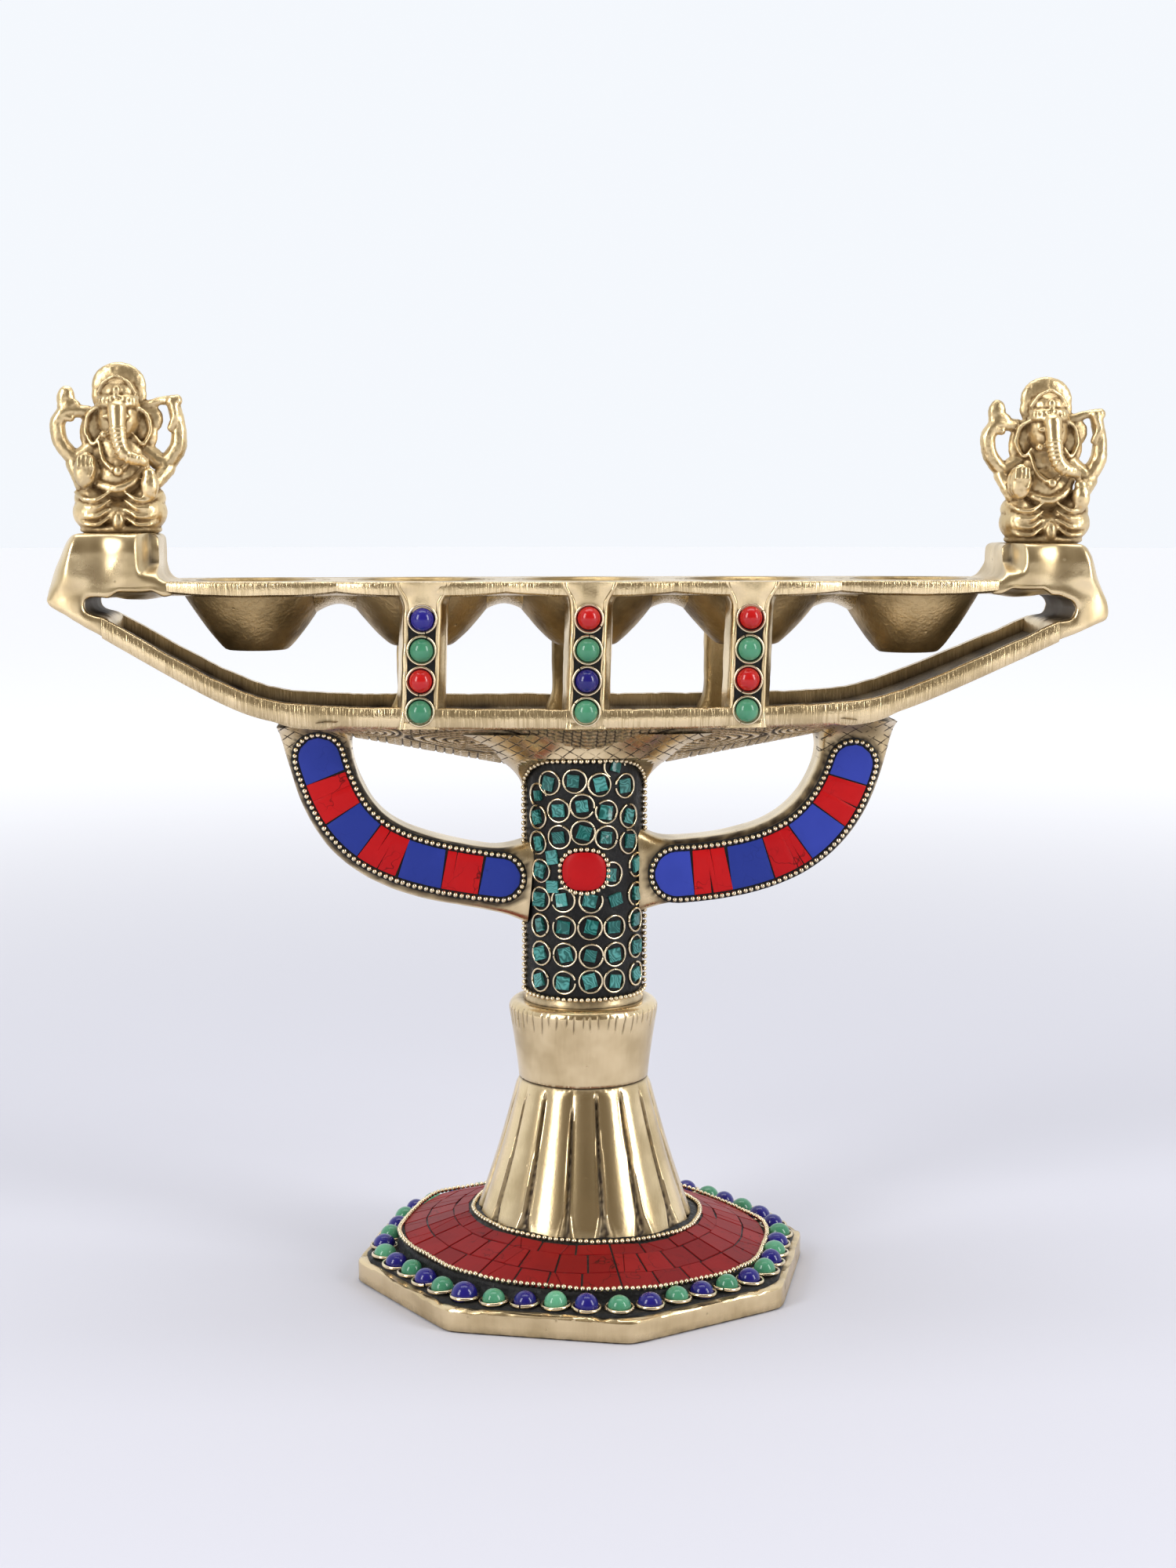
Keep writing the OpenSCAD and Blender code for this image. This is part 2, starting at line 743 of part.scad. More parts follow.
// How much deeper each cup is than the shallowest
cup_extra = [1.1, 0, 0, 0, 2.4];
function cup_low(i) = deck_z - cup_h - cup_extra[i];

// How steeply a cup's side rises towards the deck: 1 is a plain cone
cup_curve = 1.25;

// A cup's outside below the deck: a bowl that rises from a small flat foot
module cup_outside(i, grow = 0) {
  rim = (cup_r + 1.2) * cup_scale(i) + grow;
  low = cup_low(i) - grow;
  wall = [
    for (u = [0:0.125:1])
      [cup_foot_r + (rim - cup_foot_r) * u, low + (deck_low_z - low) * pow(u, cup_curve)]
  ];
  rotate_extrude($fn = 64) polygon(concat([[0, low]], wall, [[0, deck_low_z]]));
}

module oil_cup(i) {
  rim = cup_hole(i) - fit_gap;
  floor_r = cup_foot_r - 1;
  low = cup_low(i) + cup_wall;
  color(BRASS) translate([cup_first_x + i * cup_pitch, 0, 0]) difference() {
    union() {
      cup_outside(i);
      translate([0, 0, deck_low_z]) cylinder(r = rim, h = deck_t, $fn = 64);
    }
    rotate_extrude($fn = 64) polygon(concat(
      [[0, low]],
      [for (u = [0:0.125:1]) [
        floor_r + (rim - cup_lip - floor_r) * u, low + (deck_low_z - low) * pow(u, cup_curve)]],
      [[rim - cup_lip, deck_z + past], [0, deck_z + past]]
    ));
  }
}

module oil_cup_1() { oil_cup(0); }
module oil_cup_2() { oil_cup(1); }
module oil_cup_3() { oil_cup(2); }
module oil_cup_4() { oil_cup(3); }
module oil_cup_5() { oil_cup(4); }

// ---------- end blocks ----------

block_half_d = 17.5;
block_tip_z = [192.5, 187.9];
block_top_z = [211.3, 208.3];
block_in_s = 116;
block_bow_r = 60;
block_bow_angle = asin(block_half_d / block_bow_r);
pedestal_bow_r = 68;

// The block's side outline: toe on the deck, pedestal, sloping outer face, tip, tray end, slot
function block_outline(side) =
  let (
    k = side == LEFT ? -1 : 1,
    tip = block_tip_z[side],
    top = block_top_z[side],
    z_in = band_low(k * tray_half_l),
    slot = z_in + band_h + 3.6
  )
  concat(
    [[deck_end_s, deck_low_z], [deck_end_s, deck_z], [block_in_s, deck_z + 1]],
    arc(block_in_s + 1.2, top - 1.2, 1.2, 180, 90, 4),
    arc(138, top - 3.6, 3.6, 90, 20, 6),
    [[144.6, tip + 8.8], [146.4, tip + 3.2]],
    arc(146.1, tip + 0.6, 1.2, 10, -55, 4),
    [[tray_half_l, z_in], [tray_half_l, z_in + band_h]],
    arc(133.5, (deck_low_z + slot) / 2 - 0.6, 2.4, -60, 80, 8),
    [[131, deck_low_z + 0.2]]
  );

// Everything on the lamp's side of the pedestal's bowed inner face
module pedestal_bow() {
  translate([0, 0, deck_z]) difference() {
    translate([deck_end_s - 10, -30, 0]) cube([30, 60, 60]);
    translate([block_in_s + pedestal_bow_r, 0, -past]) cylinder(r = pedestal_bow_r, h = 70, $fn = 180);
  }
}

module end_block(side) {
  color(BRASS) arm_side(side) difference() {
    end_block_sides(side);
    pedestal_bow();
  }
}

module end_block_sides(side) {
  intersection() {
    translate([0, block_half_d, 0]) rotate([90, 0, 0]) linear_extrude(2 * block_half_d)
      polygon(block_outline(side));
    // Plan outline: a straight inner end and a bowed outer end
    translate([0, 0, band_z]) linear_extrude(80) polygon(concat(
      arc(tip_s - block_bow_r + 0.5, 0, block_bow_r, -block_bow_angle, block_bow_angle, 8),
      [[deck_end_s, block_half_d], [deck_end_s, -block_half_d]]
    ));
  }
}

module end_block_left() { end_block(LEFT); }
module end_block_right() { end_block(RIGHT); }

// ---------- seated figures ----------

// An egg-shaped lump, round in outline
module lump(at, size) {
  translate(at) scale(size) sphere(d = 1, $fn = 12);
}

// A limb or fold between two round ends
module limb(a, da, b, db) {
  hull() {
    translate(a) sphere(d = da, $fn = 8);
    translate(b) sphere(d = db, $fn = 8);
  }
}

// An elephant-headed figure, seated with crossed legs, four arms and an arched halo. It stands on
// z = 0, faces -Y and is figure_h high.
figure_h = 46.6;
figure_plain_h = 44.3;

module figure() {
  // seat and legs
  translate([0, 0, 1.2]) scale([1, 0.62, 1]) cylinder(d = 20, h = 2.4, center = true, $fn = 24);
  lump([-6.2, -1.5, 5.6], [12.6, 12, 9.6]);
  lump([6.2, -1.5, 5.6], [12.6, 12, 9.6]);
  lump([0, 0, 4.4], [18, 13, 8]);
  // belly and chest
  lump([0, -0.6, 14], [14.6, 12, 15]);
  lump([0, 0.6, 22], [14.6, 9, 13]);
  // head, crown and halo
  lump([0, -2, 30.4], [10.5, 10, 12]);
  lump([0, -0.6, 36.5], [9.6, 8.6, 8]);
  translate([0, 1.8, 36.6]) rotate([90, 0, 0]) cylinder(d = 14, h = 4, center = true, $fn = 24);
  translate([-6.4, -0.2, 22]) cube([12.8, 4, 14]);
  // ears
  lump([-6.6, -0.4, 28.5], [7, 4.6, 12]);
  lump([6.6, -0.4, 28.5], [7, 4.6, 12]);
  // trunk
  limb([0.2, -5.4, 32], 4.6, [0.4, -7, 24], 4);
  limb([0.4, -7, 24], 4, [3, -7.4, 19.8], 3.4);
  limb([3, -7.4, 19.8], 3.4, [7.2, -5.6, 18.6], 3);
  // arms that loop out and back to the raised hands, the viewer's left and then right
  limb([-6, 0, 24], 5, [-13, 0.4, 17.6], 4.2);
  limb([-13, 0.4, 17.6], 4.2, [-15.6, 0.4, 26], 4);
  limb([-15.6, 0.4, 26], 4, [-14, 0, 33], 5);
  limb([-14, 0, 31.6], 4.6, [-7, 0.6, 30.4], 4.2);
  limb([6, 0, 24], 5, [12.4, 0.4, 19], 4.8);
  limb([12.4, 0.4, 19], 4.8, [14.8, 0.4, 26], 4.4);
  limb([14.8, 0.4, 26], 4.4, [13.8, 0, 32], 4.8);
  limb([13.8, 0, 31], 4.6, [7, 0.6, 29.4], 4.6);
  // lower hands
  lump([-7.8, -5, 16.6], [6, 5, 10]);
  lump([8, -4.6, 12.4], [5, 5, 7.4]);
  limb([-12.6, 0, 17.4], 4, [-8, -3, 13], 4);
  limb([12, 0, 18], 4.4, [8, -3, 13], 4);
}

figure_x = [-127.4, 130.4];

module figure_at(side) {
  color(BRASS) translate([figure_x[side], 0, block_top_z[side]])
    scale(figure_h / figure_plain_h) figure();
}

module figure_left() { figure_at(LEFT); }
module figure_right() { figure_at(RIGHT); }

// ---------- every sub-part ----------

foot_plate();
fluted_foot();
stem_stud();
stem_nut();
stem_washer();
stem_column();
arm_left();
arm_right();
drip_tray();
strut_front_left();
strut_front_centre();
strut_front_right();
strut_back_left();
strut_back_centre();
strut_back_right();
deck_plate();
oil_cup_1();
oil_cup_2();
oil_cup_3();
oil_cup_4();
oil_cup_5();
end_block_left();
end_block_right();
figure_left();
figure_right();
foot_resin();
foot_tiles();
foot_rings();
foot_stones_blue();
foot_stones_green();
foot_chain_inner();
foot_chain_outer();
column_resin();
column_rings();
column_chips();
column_medallion();
column_chain();
medallion_chain();
arm_resin_left();
arm_tiles_blue_left();
arm_tiles_red_left();
arm_chain_left();
arm_resin_right();
arm_tiles_blue_right();
arm_tiles_red_right();
arm_chain_right();
strut_resin_left();
strut_resin_centre();
strut_resin_right();
strut_rings();
strut_stones_red();
strut_stones_green();
strut_stones_blue();
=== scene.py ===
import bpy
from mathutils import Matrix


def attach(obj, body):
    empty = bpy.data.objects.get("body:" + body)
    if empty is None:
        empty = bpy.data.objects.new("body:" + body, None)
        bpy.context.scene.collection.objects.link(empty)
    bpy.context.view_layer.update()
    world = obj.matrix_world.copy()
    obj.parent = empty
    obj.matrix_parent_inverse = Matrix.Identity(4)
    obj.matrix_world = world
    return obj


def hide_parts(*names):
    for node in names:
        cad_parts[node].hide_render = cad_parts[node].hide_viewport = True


bl_info = {
    "name": "Standing oil lamp",
    "version": (1, 0, 0),
    "blender": (4, 5, 0),
    "location": "3D View > Sidebar > Oil lamp",
    "description": "Builds the castings, inlay and figures of a standing brass oil lamp on its CAD frame",
    "category": "Object",
}

import math
import random

import bpy
import numpy as np
from bpy.props import FloatProperty, FloatVectorProperty, IntProperty, PointerProperty
from mathutils import Matrix, Vector, noise

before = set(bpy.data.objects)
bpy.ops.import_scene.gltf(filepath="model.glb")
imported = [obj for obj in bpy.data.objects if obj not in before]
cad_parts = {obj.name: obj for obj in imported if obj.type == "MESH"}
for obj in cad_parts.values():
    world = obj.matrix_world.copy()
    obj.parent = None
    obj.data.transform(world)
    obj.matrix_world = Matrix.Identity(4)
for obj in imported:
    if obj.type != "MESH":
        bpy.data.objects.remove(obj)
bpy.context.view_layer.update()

MM = 0.001
FRONT = -90.0
FOOT_TURN = 7.4


# ---------- sizes and colours ----------


def length_prop(name, description, value, low, high):
    """A length that a user may change, given here in millimetres."""
    return FloatProperty(
        name=name, description=description, default=value * MM, min=low * MM, max=high * MM, unit="LENGTH"
    )


class LampSizes(bpy.types.PropertyGroup):
    """Sizes of the lamp's pieces that a user may change."""

    foot_radius: length_prop("Foot radius", "Radius of the octagonal foot over its corners", 65.7, 50, 80)
    foot_turn: FloatProperty(
        name="Foot turn",
        description="Turn of the octagon about the column",
        default=math.radians(FOOT_TURN),
        subtype="ANGLE",
    )
    stone_size: length_prop("Stone size", "Diameter of the round stones", 6.0, 4, 7)
    stone_count: IntProperty(
        name="Foot stones", description="Number of round stones on the foot", default=42, min=24, max=48
    )
    bead_size: length_prop("Bead size", "Diameter of the balls of the chains", 1.5, 1, 2)
    wire_size: length_prop("Wire size", "Thickness of the wire rings", 0.8, 0.5, 1)


def colour_prop(name, description, value):
    """A colour that a user may change."""
    return FloatVectorProperty(
        name=name, description=description, default=value, subtype="COLOR", size=3, min=0.0, max=1.0
    )


class LampColours(bpy.types.PropertyGroup):
    """Colours of the metal, the stones and the lac."""

    brass: colour_prop("Brass", "Clean brass", (0.84, 0.645, 0.36))
    brass_pale: colour_prop("Pale brass", "Worn brass on rims and wires", (0.90, 0.75, 0.51))
    # Dark colour for grime and for the painted shade in occluded corners.
    grime_and_shade: colour_prop("Grime and shade", "Old oil and polish in the recesses, and painted shade in corners", (0.032, 0.018, 0.008))
    coral: colour_prop("Red tile", "Red tiles and stones", (0.50, 0.006, 0.008))
    cobalt: colour_prop("Blue tile", "Blue tiles", (0.022, 0.044, 0.40))
    lapis: colour_prop("Blue stone", "Round blue stones", (0.014, 0.010, 0.19))
    jade: colour_prop("Green stone", "Round green stones", (0.075, 0.30, 0.16))
    malachite: colour_prop("Green chip", "Split green chips", (0.015, 0.20, 0.18))
    lac: colour_prop("Lac", "Black lac bed", (0.007, 0.007, 0.007))


class StageSettings(bpy.types.PropertyGroup):
    """Floor, lights and camera."""

    lens: FloatProperty(
        name="Lens", description="Focal length of the camera in millimetres", default=53.18, min=20.0,
        max=120.0
    )
    light: FloatProperty(
        name="Light", description="Strength of the softboxes", default=1.0, min=0.0, max=5.0
    )
    floor: colour_prop("Floor", "Colour of the floor", (0.585, 0.585, 0.645))


# ---------- modelling helpers ----------


def alone(*objs):
    """Leaves only these objects selected, in object mode."""
    if bpy.context.object and bpy.context.object.mode != "OBJECT":
        bpy.ops.object.mode_set(mode="OBJECT")
    bpy.ops.object.select_all(action="DESELECT")
    for obj in objs:
        obj.select_set(True)
    if objs:
        bpy.context.view_layer.objects.active = objs[0]


def named(name):
    """Names the object that an operator has just added."""
    obj = bpy.context.object
    obj.name = name
    obj.data.name = name
    return obj


def edit_all():
    """Opens the active object in edit mode with all of it selected."""
    bpy.ops.object.mode_set(mode="EDIT")
    bpy.ops.mesh.select_all(action="SELECT")


def points_of(obj):
    """An object's vertices as an array, in millimetres."""
    co = np.empty(len(obj.data.vertices) * 3)
    obj.data.vertices.foreach_get("co", co)
    return co.reshape(-1, 3) / MM


def place(obj, co):
    """Puts an object's vertices at these points, in millimetres."""
    obj.data.vertices.foreach_set("co", (np.asarray(co, float) * MM).ravel())
    obj.data.update()


def mark(obj, name, values):
    """Stores one number for each vertex as a named attribute."""
    layer = obj.data.attributes.get(name) or obj.data.attributes.new(name, "FLOAT", "POINT")
    layer.data.foreach_set("value", np.asarray(values, np.float32))


def grain(co, size, seed=0.0):
    """Smooth noise from -1 to 1 at each point, with features of about this size in millimetres."""
    shift = Vector((seed * 7.3, seed * 3.1, seed * 5.7))
    return np.array([noise.noise(Vector(p) / size + shift) for p in co])


def hollows(obj, reach=6, gain=2.0):
    """How far each vertex lies below its surroundings, from 0 to 1: where dirt stays."""
    co = points_of(obj)
    pairs = np.empty(len(obj.data.edges) * 2, dtype=np.int64)
    obj.data.edges.foreach_get("vertices", pairs)
    a, b = pairs.reshape(-1, 2).T
    count = np.maximum(np.bincount(np.concatenate([a, b]), minlength=len(co)), 1)
    mean = co.copy()
    for _ in range(reach):
        total = [np.bincount(a, mean[b, i], len(co)) + np.bincount(b, mean[a, i], len(co)) for i in range(3)]
        mean = np.stack(total, axis=1) / count[:, None]
    normals = np.empty(len(co) * 3)
    obj.data.vertices.foreach_get("normal", normals)
    return np.clip(((mean - co) * normals.reshape(-1, 3)).sum(1) * gain, 0, 1)


def apply_all(obj):
    """Applies every modifier of an object."""
    alone(obj)
    for m in list(obj.modifiers):
        bpy.ops.object.modifier_apply(modifier=m.name)


def lofted(name, rows, ring=True, loop=False, caps=True):
    """A skin through rows of points: a flat grid bent into shape, its seams merged and its ends closed."""
    rows = np.asarray(rows, float)
    if ring:
        rows = np.concatenate([rows, rows[:, :1]], axis=1)
    if loop:
        rows = np.concatenate([rows, rows[:1]], axis=0)
    m, n = rows.shape[:2]
    alone()
    bpy.ops.mesh.primitive_grid_add(x_subdivisions=n - 1, y_subdivisions=m - 1, size=1)
    obj = named(name)
    place(obj, rows.reshape(-1, 3))
    edit_all()
    bpy.ops.mesh.remove_doubles(threshold=1e-6)
    if caps and ring and not loop:
        bpy.ops.mesh.select_all(action="SELECT")
        bpy.ops.mesh.fill_holes(sides=0)
    bpy.ops.mesh.select_all(action="SELECT")
    bpy.ops.mesh.normals_make_consistent(inside=False)
    bpy.ops.object.mode_set(mode="OBJECT")
    return obj


def outward(obj):
    """Turns an object's faces outwards."""
    alone(obj)
    edit_all()
    bpy.ops.mesh.normals_make_consistent(inside=False)
    bpy.ops.object.mode_set(mode="OBJECT")
    return obj


def kept_marks(obj, rows, values, digits, least):
    """The value of each vertex that is left after a skin's seams are merged."""
    table = {}
    for row, marks in zip(rows, values):
        for p, v in zip(row, marks):
            if v > least:
                table[tuple(np.round(p, digits))] = v
    return [table.get(tuple(np.round(p, digits)), 0.0) for p in points_of(obj)]


def ring_at(angles, r, z, x=0.0):
    """A level ring of points round an upright axis."""
    return np.stack([x + r * np.cos(angles), r * np.sin(angles), np.full(len(angles), z)], axis=1)


def squared(a, power):
    """Distance from the middle of a soft-cornered square of half width 1 to its edge at an angle."""
    return (abs(math.cos(a)) ** power + abs(math.sin(a)) ** power) ** (-1 / power)


def smooth(obj, angle=35):
    """Shades an object smooth, with its sharp edges kept."""
    alone(obj)
    bpy.ops.object.shade_smooth_by_angle(angle=math.radians(angle))
    return obj


def bevelled(obj, width, segments=2, angle=30):
    """Rounds an object's sharp edges by a width in millimetres."""
    m = obj.modifiers.new("round", "BEVEL")
    m.width = width * MM
    m.segments = segments
    m.angle_limit = math.radians(angle)
    m.harden_normals = False
    apply_all(obj)
    return obj


def remeshed(obj, voxel, relax=4):
    """Turns joined solids into one cast skin and softens its corners."""
    m = obj.modifiers.new("skin", "REMESH")
    m.mode = "VOXEL"
    m.voxel_size = voxel * MM
    if relax:
        s = obj.modifiers.new("soften", "SMOOTH")
        s.factor = 0.5
        s.iterations = relax
    apply_all(obj)
    return obj


def joined(name, objs):
    """Joins objects into the first one."""
    alone(*objs)
    if len(objs) > 1:
        bpy.ops.object.join()
    obj = bpy.context.object
    obj.name = name
    obj.data.name = name
    return obj


def copies(name, model, places, tones=None):
    """Copies one modelled piece to each place, each with its own mesh, and joins the copies."""
    made = []
    for i, matrix in enumerate(places):
        data = model.data.copy()
        data.transform(matrix)
        if tones is not None:
            layer = data.attributes.new("tone", "FLOAT", "POINT")
            layer.data.foreach_set("value", np.full(len(data.vertices), tones[i], np.float32))
        obj = bpy.data.objects.new(name, data)
        bpy.context.collection.objects.link(obj)
        made.append(obj)
    bpy.data.objects.remove(model)
    return joined(name, made)


def finished(obj, material, slot, *nodes):
    """Gives a piece its finish, and lets it ride on the lamp in place of CAD nodes."""
    obj.data.materials.clear()
    obj.data.materials.append(bpy.data.materials[material])
    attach(obj, "root")
    if nodes:
        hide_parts(*nodes)
    return obj


def frame_matrix(origin, normal, up=(0, 0, 1), turn=0.0):
    """A place on a surface: Z along its normal and Y as near to up as it can be, in millimetres."""
    z = Vector(normal).normalized()
    x = Vector(up).cross(z)
    if x.length < 1e-4:
        x = Vector((1, 0, 0))
    x.normalize()
    y = z.cross(x)
    m = Matrix((x, y, z)).transposed().to_4x4()
    m.translation = Vector(origin) * MM
    return m @ Matrix.Rotation(turn, 4, "Z")


def evenly(path, step, closed=True):
    """Points along a path at equal steps, as whole numbers of steps."""
    path = np.asarray(path, float)
    if closed:
        path = np.concatenate([path, path[:1]])
    run = np.concatenate([[0], np.cumsum(np.linalg.norm(np.diff(path, axis=0), axis=1))])
    count = max(2, int(round(run[-1] / step)))
    at = np.linspace(0, run[-1], count + 1)
    if closed:
        at = at[:-1]
    return np.stack([np.interp(at, run, path[:, i]) for i in range(3)], axis=1)


def smoothstep(a, b, x):
    """A soft step from 0 at a to 1 at b."""
    t = np.clip((np.asarray(x, float) - a) / (b - a), 0, 1)
    return t * t * (3 - 2 * t)


# ---------- the lamp's own curves, in millimetres ----------

BAND_Z = 158.8
BAND_H = 5.5
TRAY_HALF_W = 28.0
TRAY_HALF_L = 131.0
KEEL = 16.5
DECK_Z = 198.5
DECK_T = 4.2
CUP_PITCH = 45.7
CUP_FIRST = 0.6 - 2 * CUP_PITCH
CUP_HOLE_R = 17.75
END_CUP_SHARE = 0.93
COLUMN_R = 17.0
STRUT_X = (-45.4, -0.7, 43.3)
STONE_Z = (188.6, 180.2, 171.9, 163.6)
ARM_LINE = {
    -1: ((15, 114.6), (62, 119.4), (69.2, 127), (76.2, 160)),
    1: ((15, 115.8), (50.7, 116.3), (73.3, 120.7), (77.9, 160)),
}
ARM_OUTER = {-1: (10.3, 8.8), 1: (8.8, 9.1)}
ARM_INNER = {-1: (7.4, 8.9), 1: (9.4, 9.2)}
ARM_INLAY = {-1: (7.1, 7.5), 1: (8.2, 7.1)}
INLAY_T = {-1: (0.0645, 0.885), 1: (0.105, 0.8745)}
TILE_MARGIN = 1.75
SLOPE_LOW = (53.3, 10.2)
SLOPE_HIGH = (33.4, 17.0)
SLOPE_TILT = 1.8
FOOT_BED_TOP = 7.4
FOOT_STONE_R = 56.6
FOOT_STONE_MIDDLE = 0.14
STRUT_STONE_MIDDLE = -0.06
FIRST_STONE_ANGLE = -93.0
SWAPPED_STONES = (13, 24)
FOOT_RING_D = 8.4
STRUT_RING_D = 8.3
CHAIN_STEP = 1.12
MEDALLION_STEP = 1.1
MEDALLION_ANGLE = -3
MEDALLION_Z = 118.4
BLOCK_TIP = {-1: 192.5, 1: 187.9}
BLOCK_TOP = {-1: 211.3, 1: 208.3}
BLOCK_HALF_W = 16.6
SLOT_MIDDLE = {-1: 192.3, 1: 190.3}


def elbow(s, s0, bend, slope):
    """A line that is level before s0 and climbs after it, with a rounded bend."""
    return slope * (np.sqrt((s - s0) ** 2 + bend**2) + s - s0) / 2


def band_low(x):
    """Height of the lower edge of the tray's band."""
    s0, slope = (90, 0.593) if x < 0 else (80, 0.44)
    s = abs(x)
    return BAND_Z + elbow(s, s0, 12, slope) - elbow(0, s0, 12, slope) * (1 - s / 147)


def tray_w(x):
    """Half width of the tray."""
    return TRAY_HALF_W - 12 * (abs(x) / 147) ** 1.3


def keel(x):
    """Depth of the tray's underside below its band."""
    return 0.8 + (KEEL - 0.8) * max(0, 1 - abs(x) / 95) ** 1.15


def under_z(x, y):
    """Height of the tray's underside: a blunt keel with nearly straight flanks."""
    u = min(1.0, abs(y) / (tray_w(x) - 1.0))
    return band_low(x) - keel(x) * (1 - u**1.4) ** 0.95


def deck_w(x):
    """Half width of the deck, with a lobe for each cup and a narrow notch between lobes."""
    phase = (x - CUP_FIRST) / CUP_PITCH
    notch = abs(math.sin(math.pi * phase)) ** 14
    lobe = abs(math.cos(math.pi * phase))
    s = abs(x) / 113
    return TRAY_HALF_W - 1.2 - 8 * s**2.2 + 1.4 * s**2 + 1.5 * (lobe**0.6 - 1) - 0.9 * notch


def arm_point(side, t):
    """A place on an arm's middle line, from the column at 0 to the tray at 1."""
    p = np.array(ARM_LINE[side], float)
    t = np.asarray(t, float)[..., None]
    q = (1 - t) ** 3 * p[0] + 3 * t * (1 - t) ** 2 * p[1] + 3 * t * t * (1 - t) * p[2] + t**3 * p[3]
    return q


def arm_normal(side, t):
    """The direction across an arm's middle line."""
    d = arm_point(side, np.asarray(t) + 0.001) - arm_point(side, np.asarray(t) - 0.001)
    n = np.stack([-d[..., 1], d[..., 0]], axis=-1)
    return n / np.linalg.norm(n, axis=-1, keepdims=True)


def across(pair, t):
    """A value part of the way from one end of an arm to the other."""
    return pair[0] + (pair[1] - pair[0]) * t


def arm_front_y(z):
    """The arm's front leans forward as it meets the tray."""
    return -9.0 - 12.0 * np.clip((np.asarray(z, float) - 146) / 14, 0, 1.05) ** 5


def inlay_outline(side, inset, steps=60):
    """The inlay's outline on an arm: a strip with round ends, as points in X and Z."""
    t0, t1 = INLAY_T[side]
    t = np.linspace(t0, t1, steps)
    mid, out = arm_point(side, t), arm_normal(side, t)
    half = (across(ARM_INLAY[side], t) - inset)[:, None]

    def cap(p, n, r, turn):
        """The round end about a place on the middle line."""
        a0 = math.atan2(n[1], n[0]) + turn
        return np.array(
            [
                [p[0] + r * math.cos(a0 - a), p[1] + r * math.sin(a0 - a)]
                for a in np.linspace(0, math.pi, 14)[1:-1]
            ]
        )

    path = np.concatenate(
        [
            mid + out * half,
            cap(mid[-1], out[-1], half[-1, 0], 0.0),
            (mid - out * half)[::-1],
            cap(mid[0], out[0], half[0, 0], math.pi),
        ]
    )
    path[:, 0] *= side
    return path


def on_arm(path, lift=0.0):
    """Lays a flat path in X and Z on the arms' front face."""
    return np.stack([path[:, 0], arm_front_y(path[:, 1]) - lift, path[:, 1]], axis=1)


def octagon_r(angle, r, corner):
    """Distance from the axis to an octagon's edge, with its corners softened."""
    turn = math.radians(FOOT_TURN + FRONT)
    step = math.pi / 4
    d = (angle - turn + step / 2) % step - step / 2
    flat = r * math.cos(math.pi / 8) / math.cos(step / 2 - abs(d))
    limit = r - corner * (1 / math.cos(math.pi / 8) - 1)
    return limit - math.log1p(math.exp((limit - flat) / 0.5)) * 0.5


def slope_z(r):
    """Height of the tiled slope."""
    (low_r, low_z), (high_r, high_z) = SLOPE_LOW, SLOPE_HIGH
    return low_z + (high_z - low_z) * (low_r - r) / (low_r - high_r)


def tilted(co, tilt=SLOPE_TILT):
    """Leans points about Y, as the slope leans."""
    a = math.radians(tilt)
    co = np.asarray(co, float)
    x, z = co[..., 0].copy(), co[..., 2].copy()
    out = co.copy()
    out[..., 0] = x * math.cos(a) + z * math.sin(a)
    out[..., 2] = z * math.cos(a) - x * math.sin(a)
    return out


def faceted_r(r, angle):
    """The slope is an eight-sided pyramid with soft ridges: the radius that gives its height."""
    step = math.pi / 4
    d = (angle - math.radians(FOOT_TURN + FRONT) + step) % step - step / 2
    return r * (1 - 0.45 * (1 - math.cos(d)) + 0.008)


# ---------- finishes ----------


def new_group(name, inputs, outputs):
    """An empty node group with named sockets."""
    group = bpy.data.node_groups.new(name, "ShaderNodeTree")
    for socket, kind, value in inputs:
        s = group.interface.new_socket(name=socket, in_out="INPUT", socket_type=kind)
        if value is not None:
            s.default_value = value
    for socket, kind in outputs:
        group.interface.new_socket(name=socket, in_out="OUTPUT", socket_type=kind)
    return group


def feed(tree, socket, value):
    """Links a socket to another one, or sets it to a plain value."""
    if isinstance(value, bpy.types.NodeSocket):
        tree.links.new(value, socket)
    else:
        socket.default_value = value


def add(tree, kind, inputs=None, **settings):
    """Adds a node, sets it up and links or fills its inputs."""
    node = tree.nodes.new(kind)
    for key, value in settings.items():
        setattr(node, key, value)
    for key, value in (inputs or {}).items():
        feed(tree, node.inputs[key], value)
    return node


def ramp(tree, value, stops):
    """A colour ramp through grey stops of position and value."""
    node = add(tree, "ShaderNodeValToRGB", {"Fac": value})
    elements = node.color_ramp.elements
    elements[0].position, elements[1].position = stops[0][0], stops[-1][0]
    elements[0].color = (stops[0][1],) * 3 + (1,)
    elements[1].color = (stops[-1][1],) * 3 + (1,)
    for position, grey in stops[1:-1]:
        elements.new(position).color = (grey,) * 3 + (1,)
    return node.outputs["Color"]


def maths(tree, operation, a, b=0.0, clamp=False):
    """Adds a maths node and gives its result."""
    node = tree.nodes.new("ShaderNodeMath")
    node.operation = operation
    node.use_clamp = clamp
    for i, value in enumerate((a, b)):
        feed(tree, node.inputs[i], value)
    return node.outputs[0]


def mix_colour(tree, fac, a, b):
    """Adds a node that mixes two colours and gives its result."""
    node = tree.nodes.new("ShaderNodeMix")
    node.data_type = "RGBA"
    feed(tree, node.inputs[0], fac)
    for key, value in ((6, a), (7, b)):
        feed(tree, node.inputs[key], (*value, 1) if isinstance(value, tuple) else value)
    return node.outputs[2]


